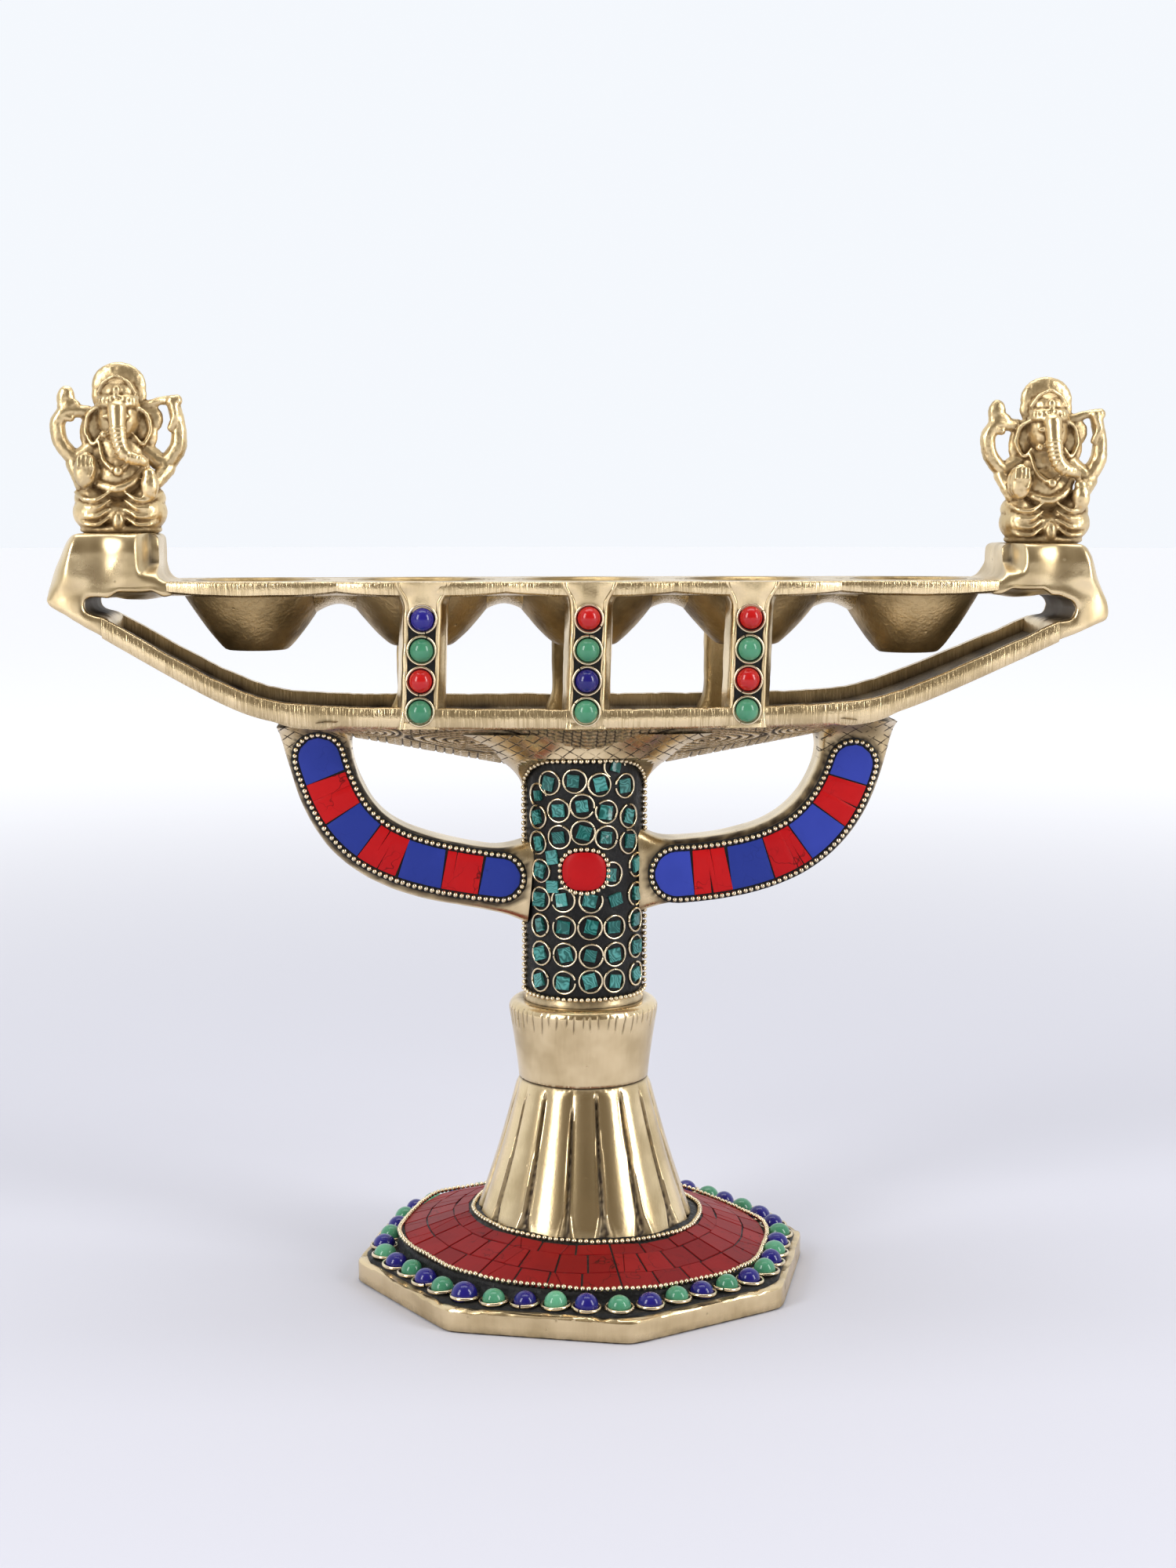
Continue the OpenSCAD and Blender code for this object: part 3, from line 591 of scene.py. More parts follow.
def build_recess_group():
    """Darkening in corners and in marked grooves, a mask from 0 to 1: painted shade from ambient occlusion in
    the corners, and old oil and polish in the marked grooves and hatch lines.
    """
    g = new_group(
        "Recess shade and soiling",
        [
            ("Vector", "NodeSocketVector", None), ("Reach", "NodeSocketFloat", 0.002),
            ("Amount", "NodeSocketFloat", 1.0),
        ],
        [("Mask", "NodeSocketFloat")],
    )
    i, o = g.nodes.new("NodeGroupInput"), g.nodes.new("NodeGroupOutput")
    at = i.outputs["Vector"]
    # Painted shade: ambient occlusion darkens the corners, broken into patches by noise.
    ao = add(g, "ShaderNodeAmbientOcclusion", {"Distance": i.outputs["Reach"]}, samples=6)
    corner = maths(g, "SUBTRACT", 1.0, ao.outputs["AO"], True)
    corner = maths(g, "MULTIPLY", corner, 1.5, True)
    blotch = add(g, "ShaderNodeTexNoise", {"Vector": at, "Scale": 420.0, "Detail": 3.0})
    patch = ramp(g, blotch.outputs["Fac"], [(0.35, 0.55), (0.65, 1.0)])
    groove = add(g, "ShaderNodeAttribute", attribute_name="groove")
    both = maths(g, "MAXIMUM", maths(g, "MULTIPLY", corner, patch), groove.outputs["Fac"])
    area = add(g, "ShaderNodeAttribute", attribute_name="hatch")
    for turn, pitch in ((0.62, 118.0), (-0.5, 131.0)):
        spun = add(g, "ShaderNodeMapping", {"Vector": at, "Rotation": (0.0, turn, 0.0)})
        wave = {
            "Vector": spun.outputs[0], "Scale": pitch, "Distortion": 1.4, "Detail": 1.0, "Detail Scale": 0.6
        }
        lines = add(g, "ShaderNodeTexWave", wave, bands_direction="Z")
        cut = ramp(g, lines.outputs["Fac"], [(0.93, 0.0), (0.985, 1.0)])
        cut = maths(g, "MULTIPLY", cut, ramp(g, blotch.outputs["Fac"], [(0.40, 0.15), (0.52, 1.0)]))
        both = maths(g, "MAXIMUM", both, maths(g, "MULTIPLY", cut, area.outputs["Fac"]))
    g.links.new(maths(g, "MULTIPLY", both, i.outputs["Amount"], True), o.inputs["Mask"])
    return g


def build_cast_group():
    """The skin of cast and filed brass: pits, file strokes and soft waves, as a height and a tone."""
    g = new_group(
        "Cast skin",
        [
            ("Vector", "NodeSocketVector", None),
            ("Grain", "NodeSocketFloat", 900.0),
            ("Pits", "NodeSocketFloat", 0.3),
            ("Strokes", "NodeSocketFloat", 0.2),
        ],
        [("Height", "NodeSocketFloat"), ("Tone", "NodeSocketFloat"), ("Pit mask", "NodeSocketFloat")],
    )
    i, o = g.nodes.new("NodeGroupInput"), g.nodes.new("NodeGroupOutput")
    at = i.outputs["Vector"]
    fine = add(g, "ShaderNodeTexNoise", {"Vector": at, "Scale": i.outputs["Grain"], "Detail": 4.0})
    wave = add(g, "ShaderNodeTexNoise", {"Vector": at, "Scale": 70.0, "Detail": 3.0})
    stretch = add(g, "ShaderNodeMapping", {"Vector": at, "Scale": (2600.0, 900.0, 110.0)})
    stroke = add(g, "ShaderNodeTexNoise", {"Vector": stretch.outputs[0], "Scale": 1.0, "Detail": 2.0})
    cells = add(g, "ShaderNodeTexVoronoi", {"Vector": at, "Scale": 190.0})
    pit = ramp(g, cells.outputs["Distance"], [(0.0, 1.0), (0.10, 0.0)])
    pick = add(g, "ShaderNodeTexNoise", {"Vector": at, "Scale": 95.0})
    pit = maths(g, "MULTIPLY", pit, ramp(g, pick.outputs["Fac"], [(0.50, 0.0), (0.58, 1.0)]))
    pit = maths(g, "MULTIPLY", pit, i.outputs["Pits"])
    h = maths(g, "ADD", maths(g, "MULTIPLY", fine.outputs["Fac"], 0.5), wave.outputs["Fac"])
    h = maths(g, "ADD", h, maths(g, "MULTIPLY", stroke.outputs["Fac"], i.outputs["Strokes"]))
    h = maths(g, "SUBTRACT", h, maths(g, "MULTIPLY", pit, 2.0))
    g.links.new(h, o.inputs["Height"])
    streak = maths(g, "MULTIPLY", maths(g, "SUBTRACT", stroke.outputs["Fac"], 0.5), i.outputs["Strokes"])
    tone = maths(g, "ADD", wave.outputs["Fac"], streak)
    g.links.new(tone, o.inputs["Tone"])
    g.links.new(pit, o.inputs["Pit mask"])
    return g


def build_stone_group():
    """Clouds and dark veins inside a stone, as a tone and a vein mask."""
    g = new_group(
        "Stone figure",
        [
            ("Vector", "NodeSocketVector", None), ("Size", "NodeSocketFloat", 220.0),
            ("Veins", "NodeSocketFloat", 0.3), ("Bands", "NodeSocketFloat", 0.0),
        ],
        [("Tone", "NodeSocketFloat"), ("Vein", "NodeSocketFloat")],
    )
    i, o = g.nodes.new("NodeGroupInput"), g.nodes.new("NodeGroupOutput")
    at = i.outputs["Vector"]
    cloud = add(g, "ShaderNodeTexNoise", {"Vector": at, "Scale": i.outputs["Size"], "Detail": 5.0})
    warp = add(g, "ShaderNodeTexNoise", {"Vector": at, "Scale": 160.0, "Detail": 2.0})
    bend = add(
        g, "ShaderNodeVectorMath", {0: warp.outputs["Color"], 1: (0.012, 0.012, 0.012)}, operation="MULTIPLY"
    )
    moved = add(g, "ShaderNodeVectorMath", {0: at, 1: bend.outputs[0]}, operation="ADD")
    cracks = add(
        g, "ShaderNodeTexVoronoi", {"Vector": moved.outputs[0], "Scale": 120.0}, feature="DISTANCE_TO_EDGE"
    )
    line = ramp(g, cracks.outputs["Distance"], [(0.0, 1.0), (0.018, 0.0)])
    pick = add(g, "ShaderNodeTexNoise", {"Vector": at, "Scale": 60.0})
    line = maths(g, "MULTIPLY", line, ramp(g, pick.outputs["Fac"], [(0.48, 0.0), (0.60, 1.0)]))
    tone = add(g, "ShaderNodeAttribute", attribute_name="tone")
    bands = add(
        g,
        "ShaderNodeTexWave",
        {"Vector": moved.outputs[0], "Scale": i.outputs["Size"], "Distortion": 6.0},
        bands_direction="DIAGONAL",
    )
    banded = maths(g, "MULTIPLY", maths(g, "SUBTRACT", bands.outputs["Fac"], 0.5), i.outputs["Bands"])
    sum_ = maths(
        g,
        "ADD",
        maths(g, "ADD", maths(g, "MULTIPLY", cloud.outputs["Fac"], 0.7), banded),
        tone.outputs["Fac"],
    )
    g.links.new(sum_, o.inputs["Tone"])
    g.links.new(maths(g, "MULTIPLY", line, i.outputs["Veins"]), o.inputs["Vein"])
    return g


def start_material(name):
    """A material with its shader and the coordinates that its patterns use."""
    m = bpy.data.materials.new(name)
    m.use_nodes = True
    m.node_tree.nodes.clear()
    t = m.node_tree
    out = t.nodes.new("ShaderNodeOutputMaterial")
    shader = t.nodes.new("ShaderNodeBsdfPrincipled")
    t.links.new(shader.outputs[0], out.inputs["Surface"])
    where = t.nodes.new("ShaderNodeTexCoord")
    return m, t, shader, where.outputs["Object"]


def place_group(tree, name, inputs):
    """Places a node group and sets or links its inputs."""
    node = tree.nodes.new("ShaderNodeGroup")
    node.node_tree = bpy.data.node_groups[name]
    for key, value in inputs.items():
        feed(tree, node.inputs[key], value)
    return node


def brass(name, clean, pale, grime_and_shade, rough, reach, amount, grain_scale, pits, strokes, bump, shadow=0.8):
    """Cast brass: bright where it is rubbed, brown in its recesses from grime and from painted shade in
    occluded corners, with a filed or pitted skin.
    """
    m, t, shader, where = start_material(name)
    skin = place_group(
        t, "Cast skin", {"Vector": where, "Grain": grain_scale, "Pits": pits, "Strokes": strokes}
    )
    # The recess mask paints shade into the colour: ambient occlusion darkens the corners, along with the
    # grime of the marked grooves.
    darkening = place_group(t, "Recess shade and soiling", {"Vector": where, "Reach": reach, "Amount": amount})
    tone = ramp(t, skin.outputs["Tone"], [(0.38, 0.0), (0.62, 1.0)])
    deep = tuple(c * shadow for c in clean)
    colour = mix_colour(t, tone, deep, clean)
    colour = mix_colour(t, maths(t, "MULTIPLY", tone, 0.35), colour, pale)
    mask = maths(t, "MAXIMUM", darkening.outputs["Mask"], skin.outputs["Pit mask"], True)
    # Painted shade and grime: the mask mixes the brass towards the dark colour.
    colour = mix_colour(t, mask, colour, grime_and_shade)
    t.links.new(colour, shader.inputs["Base Color"])
    t.links.new(maths(t, "SUBTRACT", 1.0, maths(t, "MULTIPLY", mask, 0.55)), shader.inputs["Metallic"])
    base = maths(t, "ADD", rough, maths(t, "MULTIPLY", tone, -0.07))
    t.links.new(maths(t, "ADD", base, maths(t, "MULTIPLY", mask, 0.35), True), shader.inputs["Roughness"])
    b = add(t, "ShaderNodeBump", {"Height": skin.outputs["Height"], "Strength": bump, "Distance": 0.0004})
    t.links.new(b.outputs[0], shader.inputs["Normal"])
    return m


def stone(name, colour, light, dark, rough, size, veins, coat, bump=0.05, bands=0.0):
    """Polished stone with clouds, veins and a clear gloss."""
    m, t, shader, where = start_material(name)
    figure = place_group(t, "Stone figure", {"Vector": where, "Size": size, "Veins": veins, "Bands": bands})
    base = mix_colour(t, ramp(t, figure.outputs["Tone"], [(0.15, 0.0), (0.85, 1.0)]), dark, light)
    base = mix_colour(t, 0.25 if bands else 0.5, base, colour)
    base = mix_colour(t, figure.outputs["Vein"], base, tuple(c * 0.12 for c in colour))
    t.links.new(base, shader.inputs["Base Color"])
    shader.inputs["Roughness"].default_value = rough
    shader.inputs["Coat Weight"].default_value = coat
    shader.inputs["Coat Roughness"].default_value = 0.04
    shader.inputs["Specular IOR Level"].default_value = 0.15
    fine = add(t, "ShaderNodeTexNoise", {"Vector": where, "Scale": 500.0, "Detail": 3.0})
    b = add(t, "ShaderNodeBump", {"Height": fine.outputs["Fac"], "Strength": bump, "Distance": 0.0003})
    t.links.new(b.outputs[0], shader.inputs["Normal"])
    return m


def lac(name, colour):
    """Black lac: lumpy, dull in places, with grains of dirt."""
    m, t, shader, where = start_material(name)
    lumps = add(t, "ShaderNodeTexNoise", {"Vector": where, "Scale": 450.0, "Detail": 5.0, "Roughness": 0.6})
    dust = add(t, "ShaderNodeTexNoise", {"Vector": where, "Scale": 1500.0, "Detail": 2.0})
    grey = ramp(t, dust.outputs["Fac"], [(0.55, 0.0), (0.75, 1.0)])
    t.links.new(
        mix_colour(t, maths(t, "MULTIPLY", grey, 0.2), colour, (0.07, 0.06, 0.05)),
        shader.inputs["Base Color"],
    )
    t.links.new(ramp(t, lumps.outputs["Fac"], [(0.3, 0.30), (0.7, 0.62)]), shader.inputs["Roughness"])
    shader.inputs["Specular IOR Level"].default_value = 0.22
    b = add(t, "ShaderNodeBump", {"Height": lumps.outputs["Fac"], "Strength": 0.7, "Distance": 0.0006})
    t.links.new(b.outputs[0], shader.inputs["Normal"])
    return m


def steel(name):
    """Plain turned steel of the hidden stud and nut."""
    m, t, shader, where = start_material(name)
    turned = add(t, "ShaderNodeMapping", {"Vector": where, "Scale": (60.0, 60.0, 2400.0)})
    lines = add(t, "ShaderNodeTexNoise", {"Vector": turned.outputs[0], "Scale": 1.0})
    t.links.new(
        mix_colour(t, lines.outputs["Fac"], (0.42, 0.42, 0.43), (0.60, 0.60, 0.61)),
        shader.inputs["Base Color"],
    )
    shader.inputs["Metallic"].default_value = 1.0
    t.links.new(ramp(t, lines.outputs["Fac"], [(0.3, 0.25), (0.7, 0.45)]), shader.inputs["Roughness"])
    return m


# ---------- operators ----------


class LAMP_OT_finishes(bpy.types.Operator):
    """Makes the finishes of the metal, the stones and the lac"""

    bl_idname = "lamp.finishes"
    bl_label = "Finishes"

    def execute(self, context):
        c = context.scene.lamp_colours
        build_recess_group()
        build_cast_group()
        build_stone_group()
        clean, pale, grime_and_shade = tuple(c.brass), tuple(c.brass_pale), tuple(c.grime_and_shade)
        brass(
            "filed brass", clean, pale, grime_and_shade, rough=0.31, reach=0.0032, amount=1.0, grain_scale=1300.0,
            pits=0.45, strokes=0.9, bump=0.4, shadow=0.7,
        )
        brass(
            "satin brass", clean, pale, grime_and_shade, rough=0.27, reach=0.0028, amount=1.0, grain_scale=1100.0,
            pits=0.7, strokes=0.1, bump=0.12, shadow=0.75,
        )
        brass(
            "polished brass", clean, pale, grime_and_shade, rough=0.32, reach=0.003, amount=0.9, grain_scale=900.0,
            pits=0.9, strokes=0.08, bump=0.12, shadow=0.75,
        )
        brass(
            "cast brass", (clean[0] * 0.6, clean[1] * 0.54, clean[2] * 0.42), clean, grime_and_shade, rough=0.46,
            reach=0.006, amount=1.0, grain_scale=950.0, pits=0.6, strokes=0.0, bump=1.0, shadow=0.5,
        )
        brass(
            "figure brass", clean, clean, (0.17, 0.095, 0.028), rough=0.37, reach=0.0035, amount=1.0,
            grain_scale=1800.0, pits=0.3, strokes=0.0, bump=0.16, shadow=0.7,
        )
        brass(
            "wire brass", pale, tuple(min(1, x * 1.1) for x in pale), grime_and_shade, rough=0.22, reach=0.0006,
            amount=0.6, grain_scale=2000.0, pits=0.0, strokes=0.0, bump=0.05,
        )
        coral, cobalt = tuple(c.coral), tuple(c.cobalt)
        stone(
            "red tile", coral, light=(0.60, 0.010, 0.010), dark=(0.34, 0.004, 0.008), rough=0.38, size=150.0,
            veins=0.9, coat=0.0,
        )
        dull = tuple(x * 0.5 for x in coral)
        stone(
            "dull red tile", dull, light=(0.36, 0.010, 0.008), dark=(0.13, 0.005, 0.005), rough=0.44,
            size=130.0, veins=1.0, coat=0.0, bump=0.12,
        )
        stone(
            "blue tile", cobalt, light=(0.050, 0.070, 0.36), dark=(0.018, 0.030, 0.11), rough=0.45, size=90.0,
            veins=0.25, coat=0.0,
        )
        stone(
            "red stone", coral, light=(0.58, 0.012, 0.010), dark=(0.38, 0.005, 0.005), rough=0.25, size=250.0,
            veins=0.05, coat=0.7,
        )
        stone(
            "blue stone", tuple(c.lapis), light=(0.022, 0.018, 0.27), dark=(0.008, 0.006, 0.10), rough=0.25,
            size=300.0, veins=0.0, coat=0.7,
        )
        stone(
            "green stone", tuple(c.jade), light=(0.16, 0.47, 0.28), dark=(0.030, 0.17, 0.09), rough=0.28,
            size=260.0, veins=0.0, coat=0.65,
        )
        stone(
            "green chip", tuple(c.malachite), light=(0.11, 0.40, 0.37), dark=(0.004, 0.06, 0.05), rough=0.30,
            size=330.0, veins=0.5, coat=0.5, bump=0.25, bands=0.7,
        )
        lac("black lac", tuple(c.lac))
        steel("turned steel")
        for node in ("stem_stud", "stem_nut", "stem_washer"):
            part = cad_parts[node]
            part.data.materials.clear()
            part.data.materials.append(bpy.data.materials["turned steel"])
        return {"FINISHED"}


class LAMP_OT_foot(bpy.types.Operator):
    """Models the octagonal foot plate with its worn rim, and the lac bed on it"""

    bl_idname = "lamp.foot"
    bl_label = "Foot"

    def execute(self, context):
        r = context.scene.lamp_sizes.foot_radius / MM
        count = 360
        steps = [
            (r, 0.5), (r, 1.6), (r, 3.0), (r, 4.4), (r, 5.5), (r - 0.15, 6.1), (r - 0.7, 6.5), (r - 3, 6.5)
        ]
        inner = [
            (61, 6.5), (53, 6.6), (51.6, 8.6), (31.8, 15.3), (24, 15.3), (24, 9), (24, 4.2), (40, 4.2),
            (57.5, 4.2),
        ]
        rows = []
        for q, z in steps:
            rows.append([octagon_r(2 * math.pi * i / count, q, 5) for i in range(count)] + [z])
        for q, z in inner:
            rows.append([q] * count + [z])
        for q, z in ((r - 4.5, 3.4), (r - 4.2, 0.3), (r - 3.8, 0.0), (r - 0.6, 0.0)):
            rows.append([octagon_r(2 * math.pi * i / count, q, 5) for i in range(count)] + [z])
        angles = np.arange(count) * 2 * math.pi / count
        grid = np.array([ring_at(angles, np.array(row[:-1]), row[-1]) for row in rows])
        for j in range(5, 8):
            chip = np.maximum(0, grain(grid[j], 3.2, 2) - 0.25) * 1.4 + grain(grid[j], 14, 4) * 0.18
            grid[j][:, 2] -= np.maximum(chip, -0.2)
        for j in range(1, 6):
            dent = grain(grid[j], 9, 5) * 0.22 + np.maximum(0, grain(grid[j], 2.4, 8) - 0.42) * 1.1
            grid[j][:, :2] *= 1 - (dent / r)[:, None]
        plate = lofted("foot_plate_cast", grid, loop=True)
        smooth(plate, 40)
        finished(plate, "satin brass", "brass_cast", "foot_plate")

        bed = []
        for q, z in (
            (62.4, 6.3), (62.2, 7.0), (61.4, 7.35), (59.5, 7.4), (57.3, 7.3), (55.2, 7.5), (53.8, 8.0),
            (53.3, 9.2), (53.1, 10.1), (52.2, 10.55), (46, 12.7), (40, 14.8), (34.5, 16.7), (32.4, 17.3),
            (30.5, 17.3),
            (28.6, 16.2), (28.6, 15.4), (31.8, 15.35), (51.5, 8.7), (53, 6.7), (58, 6.5),
        ):
            ring = []
            for a in angles:
                edge = min(q, octagon_r(a, r, 5) - 1.8 - (62.4 - q)) if q > 55.5 else q
                h = z
                if 30 < q < 53.5 and z > 9:
                    h = slope_z(faceted_r(q, a)) if q < 52.5 else z
                ring.append((edge * math.cos(a), edge * math.sin(a), h))
            bed.append(ring)
        bed = np.array(bed)
        for j in range(1, 15):
            lump = grain(bed[j], 1.6, 3) * 0.16 + grain(bed[j], 4.5, 9) * 0.16
            bed[j][:, 2] += lump
        bed[7:18] = tilted(bed[7:18])
        lac_bed = lofted("foot_lac_bed", bed, loop=True)
        smooth(lac_bed, 60)
        finished(lac_bed, "black lac", "lac_resin", "foot_resin")
        return {"FINISHED"}


def dome_model(name, diameter, middle):
    """One polished stone: a ball ground flat at its back, its middle a share of its width above it."""
    alone()
    bpy.ops.mesh.primitive_uv_sphere_add(segments=24, ring_count=16, radius=diameter * 0.52)
    obj = named(name)
    edit_all()
    bpy.ops.transform.translate(value=(0, 0, diameter * middle))
    bpy.ops.mesh.select_all(action="SELECT")
    bpy.ops.mesh.bisect(plane_co=(0, 0, 0), plane_no=(0, 0, 1), use_fill=True, clear_inner=True)
    bpy.ops.object.mode_set(mode="OBJECT")
    smooth(obj, 50)
    return obj


def wire_ring_model(name, outer, wire, gap=0.0, steps=28):
    """One ring of round wire, open by a gap in degrees."""
    rows = []
    mid = outer / 2 - wire / 2
    turns = steps if gap == 0 else steps + 1
    for i in range(turns):
        a = math.radians(gap / 2 + (360 - gap) * i / steps)
        rows.append(
            [
                (
                    (mid + wire / 2 * math.cos(b)) * math.cos(a),
                    (mid + wire / 2 * math.cos(b)) * math.sin(a),
                    wire / 2 * math.sin(b) * 1.25,
                )
                for b in np.linspace(0, 2 * math.pi, 6, endpoint=False)
            ]
        )
    obj = lofted(name, rows, loop=gap == 0)
    return smooth(obj, 70)


def bead_chain(name, paths, size, replaced, lift_seed=1):
    """A ball chain: one small ball copied along the paths."""
    rnd = random.Random(lift_seed)
    alone()
    bpy.ops.mesh.primitive_uv_sphere_add(segments=8, ring_count=6, radius=size / 2 * MM)
    ball = named(name)
    edit_all()
    bpy.ops.transform.resize(value=(1.0, 1.0, 0.94))
    bpy.ops.object.mode_set(mode="OBJECT")
    smooth(ball, 80)
    spots = []
    for path in paths:
        for p in path:
            q = Vector(p) + Vector([rnd.uniform(-0.07, 0.07) for _ in range(3)])
            scale = rnd.uniform(0.93, 1.03)
            turn = Matrix.Rotation(rnd.uniform(0, 3), 4, "X")
            spots.append(Matrix.Translation(q * MM) @ turn @ Matrix.Scale(scale, 4))
    chain = copies(name, ball, spots)
    return finished(chain, "wire brass", "brass_wire", replaced)


class LAMP_OT_foot_inlay(bpy.types.Operator):
    """Sets the round stones in their wire rings, the red tiles and the two ball chains on the foot"""

    bl_idname = "lamp.foot_inlay"
    bl_label = "Foot inlay"

    def execute(self, context):
        sizes = context.scene.lamp_sizes
        rnd = random.Random(11)
        count = sizes.stone_count
        spots = []
        for i in range(count):
            a = 2 * math.pi * i / count + math.radians(FIRST_STONE_ANGLE)
            r = FOOT_STONE_R + 1.2 * math.cos(8 * (a - sizes.foot_turn)) + rnd.uniform(-0.25, 0.25)
            spots.append((r * math.cos(a), r * math.sin(a)))
        for colour, rest in (("blue", 0), ("green", 1)):
            stones = []
            tones = []
            for i in range(count):
                if (i + (SWAPPED_STONES[0] <= i <= SWAPPED_STONES[1])) % 2 != rest:
                    continue
                x, y = spots[i]
                lean = Vector((rnd.uniform(-0.12, 0.12), rnd.uniform(-0.12, 0.12), 1))
                m = frame_matrix(
                    (x, y, FOOT_BED_TOP + rnd.uniform(-0.1, 0.15)), lean, (0, 1, 0.01), rnd.uniform(0, 6)
                )
                big = 1.16 if i == count - 4 else 1.0
                size = (
                    rnd.uniform(0.95, 1.06) * big,
                    rnd.uniform(0.95, 1.03) * big,
                    rnd.uniform(0.9, 1.05) * big,
                    1,
                )
                stones.append(m @ Matrix.Diagonal(size))
                pale = 0.75 if i == count - 1 else 0.0
                tones.append(
                    rnd.uniform(-0.25, 0.3) + pale if colour == "green" else rnd.uniform(-0.15, 0.15)
                )
            model = dome_model(f"foot_stone_{colour}", sizes.stone_size, FOOT_STONE_MIDDLE)
            obj = copies(f"foot_stones_{colour}_set", model, stones, tones)
            slot = "lapis_blue" if colour == "blue" else "jade_green"
            finished(obj, f"{colour} stone", slot, f"foot_stones_{colour}")
        rings = []
        for i, (x, y) in enumerate(spots):
            lean = Vector((rnd.uniform(-0.07, 0.07), rnd.uniform(-0.07, 0.07), 1))
            m = frame_matrix(
                (x + rnd.uniform(-0.15, 0.15), y + rnd.uniform(-0.15, 0.15), FOOT_BED_TOP + 0.55),
                lean,
                (0, 1, 0.01),
                rnd.uniform(0, 6),
            )
            rings.append(m @ Matrix.Diagonal((rnd.uniform(0.95, 1.0), rnd.uniform(0.97, 1.03), 1, 1)))
        ring = wire_ring_model("foot_ring", FOOT_RING_D, sizes.wire_size / MM, 7)
        finished(copies("foot_rings_set", ring, rings), "wire brass", "brass_wire", "foot_rings")

        bead = sizes.bead_size / MM
        outer, inner = [], []
        for i in range(720):
            a = 2 * math.pi * i / 720
            r = 52.7 + 0.8 * math.cos(8 * (a - sizes.foot_turn))
            outer.append((r * math.cos(a), r * math.sin(a), slope_z(faceted_r(min(r, 52.5), a)) + 0.75))
            r = 32.6 + 0.3 * math.cos(8 * (a - sizes.foot_turn))
            inner.append((r * math.cos(a) + 0.5, r * math.sin(a), slope_z(faceted_r(r, a)) + 0.45))
        bead_chain(
            "foot_chain_outer_beads", [evenly(tilted(outer), bead * CHAIN_STEP)], bead, "foot_chain_outer", 5
        )
        bead_chain(
            "foot_chain_inner_beads", [evenly(tilted(inner), bead * CHAIN_STEP)], bead, "foot_chain_inner", 6
        )
        self.tiles()
        return {"FINISHED"}

    def tiles(self):
        """Three rings of tapered tiles, some of them cracked."""
        rnd = random.Random(23)
        rows = ((45.6, 51.85, 4), (38.0, 45.3, 4), (33.7, 37.7, 3))
        turn = math.radians(FOOT_TURN + FRONT)
        made, tones = [], []
        for r0, r1, per_side in rows:
            n = per_side * 8
            edges = [
                turn + 2 * math.pi * (k + rnd.uniform(-0.10, 0.10) * (k % per_side != 0)) / n
                for k in range(n)
            ]
            for k in range(n):
                a0, a1 = edges[k], edges[(k + 1) % n] + (2 * math.pi if k == n - 1 else 0)
                lo, hi = r0 + rnd.uniform(-0.15, 0.15), r1 + rnd.uniform(-0.1, 0.1)
                parts = [(0.0, 1.0, 0.0, 1.0)]
                if rnd.random() < 0.5:
                    cut = rnd.uniform(0.3, 0.7)
                    slant = rnd.uniform(-0.18, 0.18)
                    parts = [(0.0, cut + slant, 0.0, cut - slant), (cut + slant, 1.0, cut - slant, 1.0)]
                tone = rnd.uniform(-0.3, 0.25)
                for u0, u1, w0, w1 in parts:
                    tones.append(tone + rnd.uniform(-0.05, 0.05))
                    made.append(self.slab(lo, hi, a0, a1, (u0, u1, w0, w1), rnd))
        for obj, tone in zip(made, tones):
            mark(obj, "tone", [tone] * len(obj.data.vertices))
        tiles = joined("foot_tiles_set", made)
        bevelled(tiles, 0.14, 1, 40)
        smooth(tiles, 30)
        finished(tiles, "dull red tile", "coral_red", "foot_tiles")

    def slab(self, lo, hi, a0, a1, cut, rnd):
        """One tile between two radii and two angles."""
        u0, u1, w0, w1 = cut
        corners = []
        for r, s0, s1 in ((lo, u0, u1), (hi, w0, w1)):
            g = 0.25 / r
            for s, sign in ((s0, 1), (s1, -1)):
                a = a0 + (a1 - a0) * s + sign * (g if s in (0.0, 1.0) else 0.06 / r)
                q = r / math.cos((a1 - a0) / 2) * 0.998
                corners.append((q * math.cos(a), q * math.sin(a), slope_z(faceted_r(q, a))))
        lift = 0.35 + rnd.uniform(-0.06, 0.06)
        alone()
        bpy.ops.mesh.primitive_cube_add(size=1)
        obj = named("tile")
        base = points_of(obj)
        index = {(-1, -1): 0, (1, -1): 1, (-1, 1): 2, (1, 1): 3}
        co = []
        for p in base:
            key = (1 if p[0] > 0 else -1, 1 if p[1] > 0 else -1)
            c = corners[index[key]]
            co.append((c[0], c[1], c[2] + (lift if p[2] > 0 else -0.6)))
        place(obj, tilted(np.array(co)))
        return outward(obj)


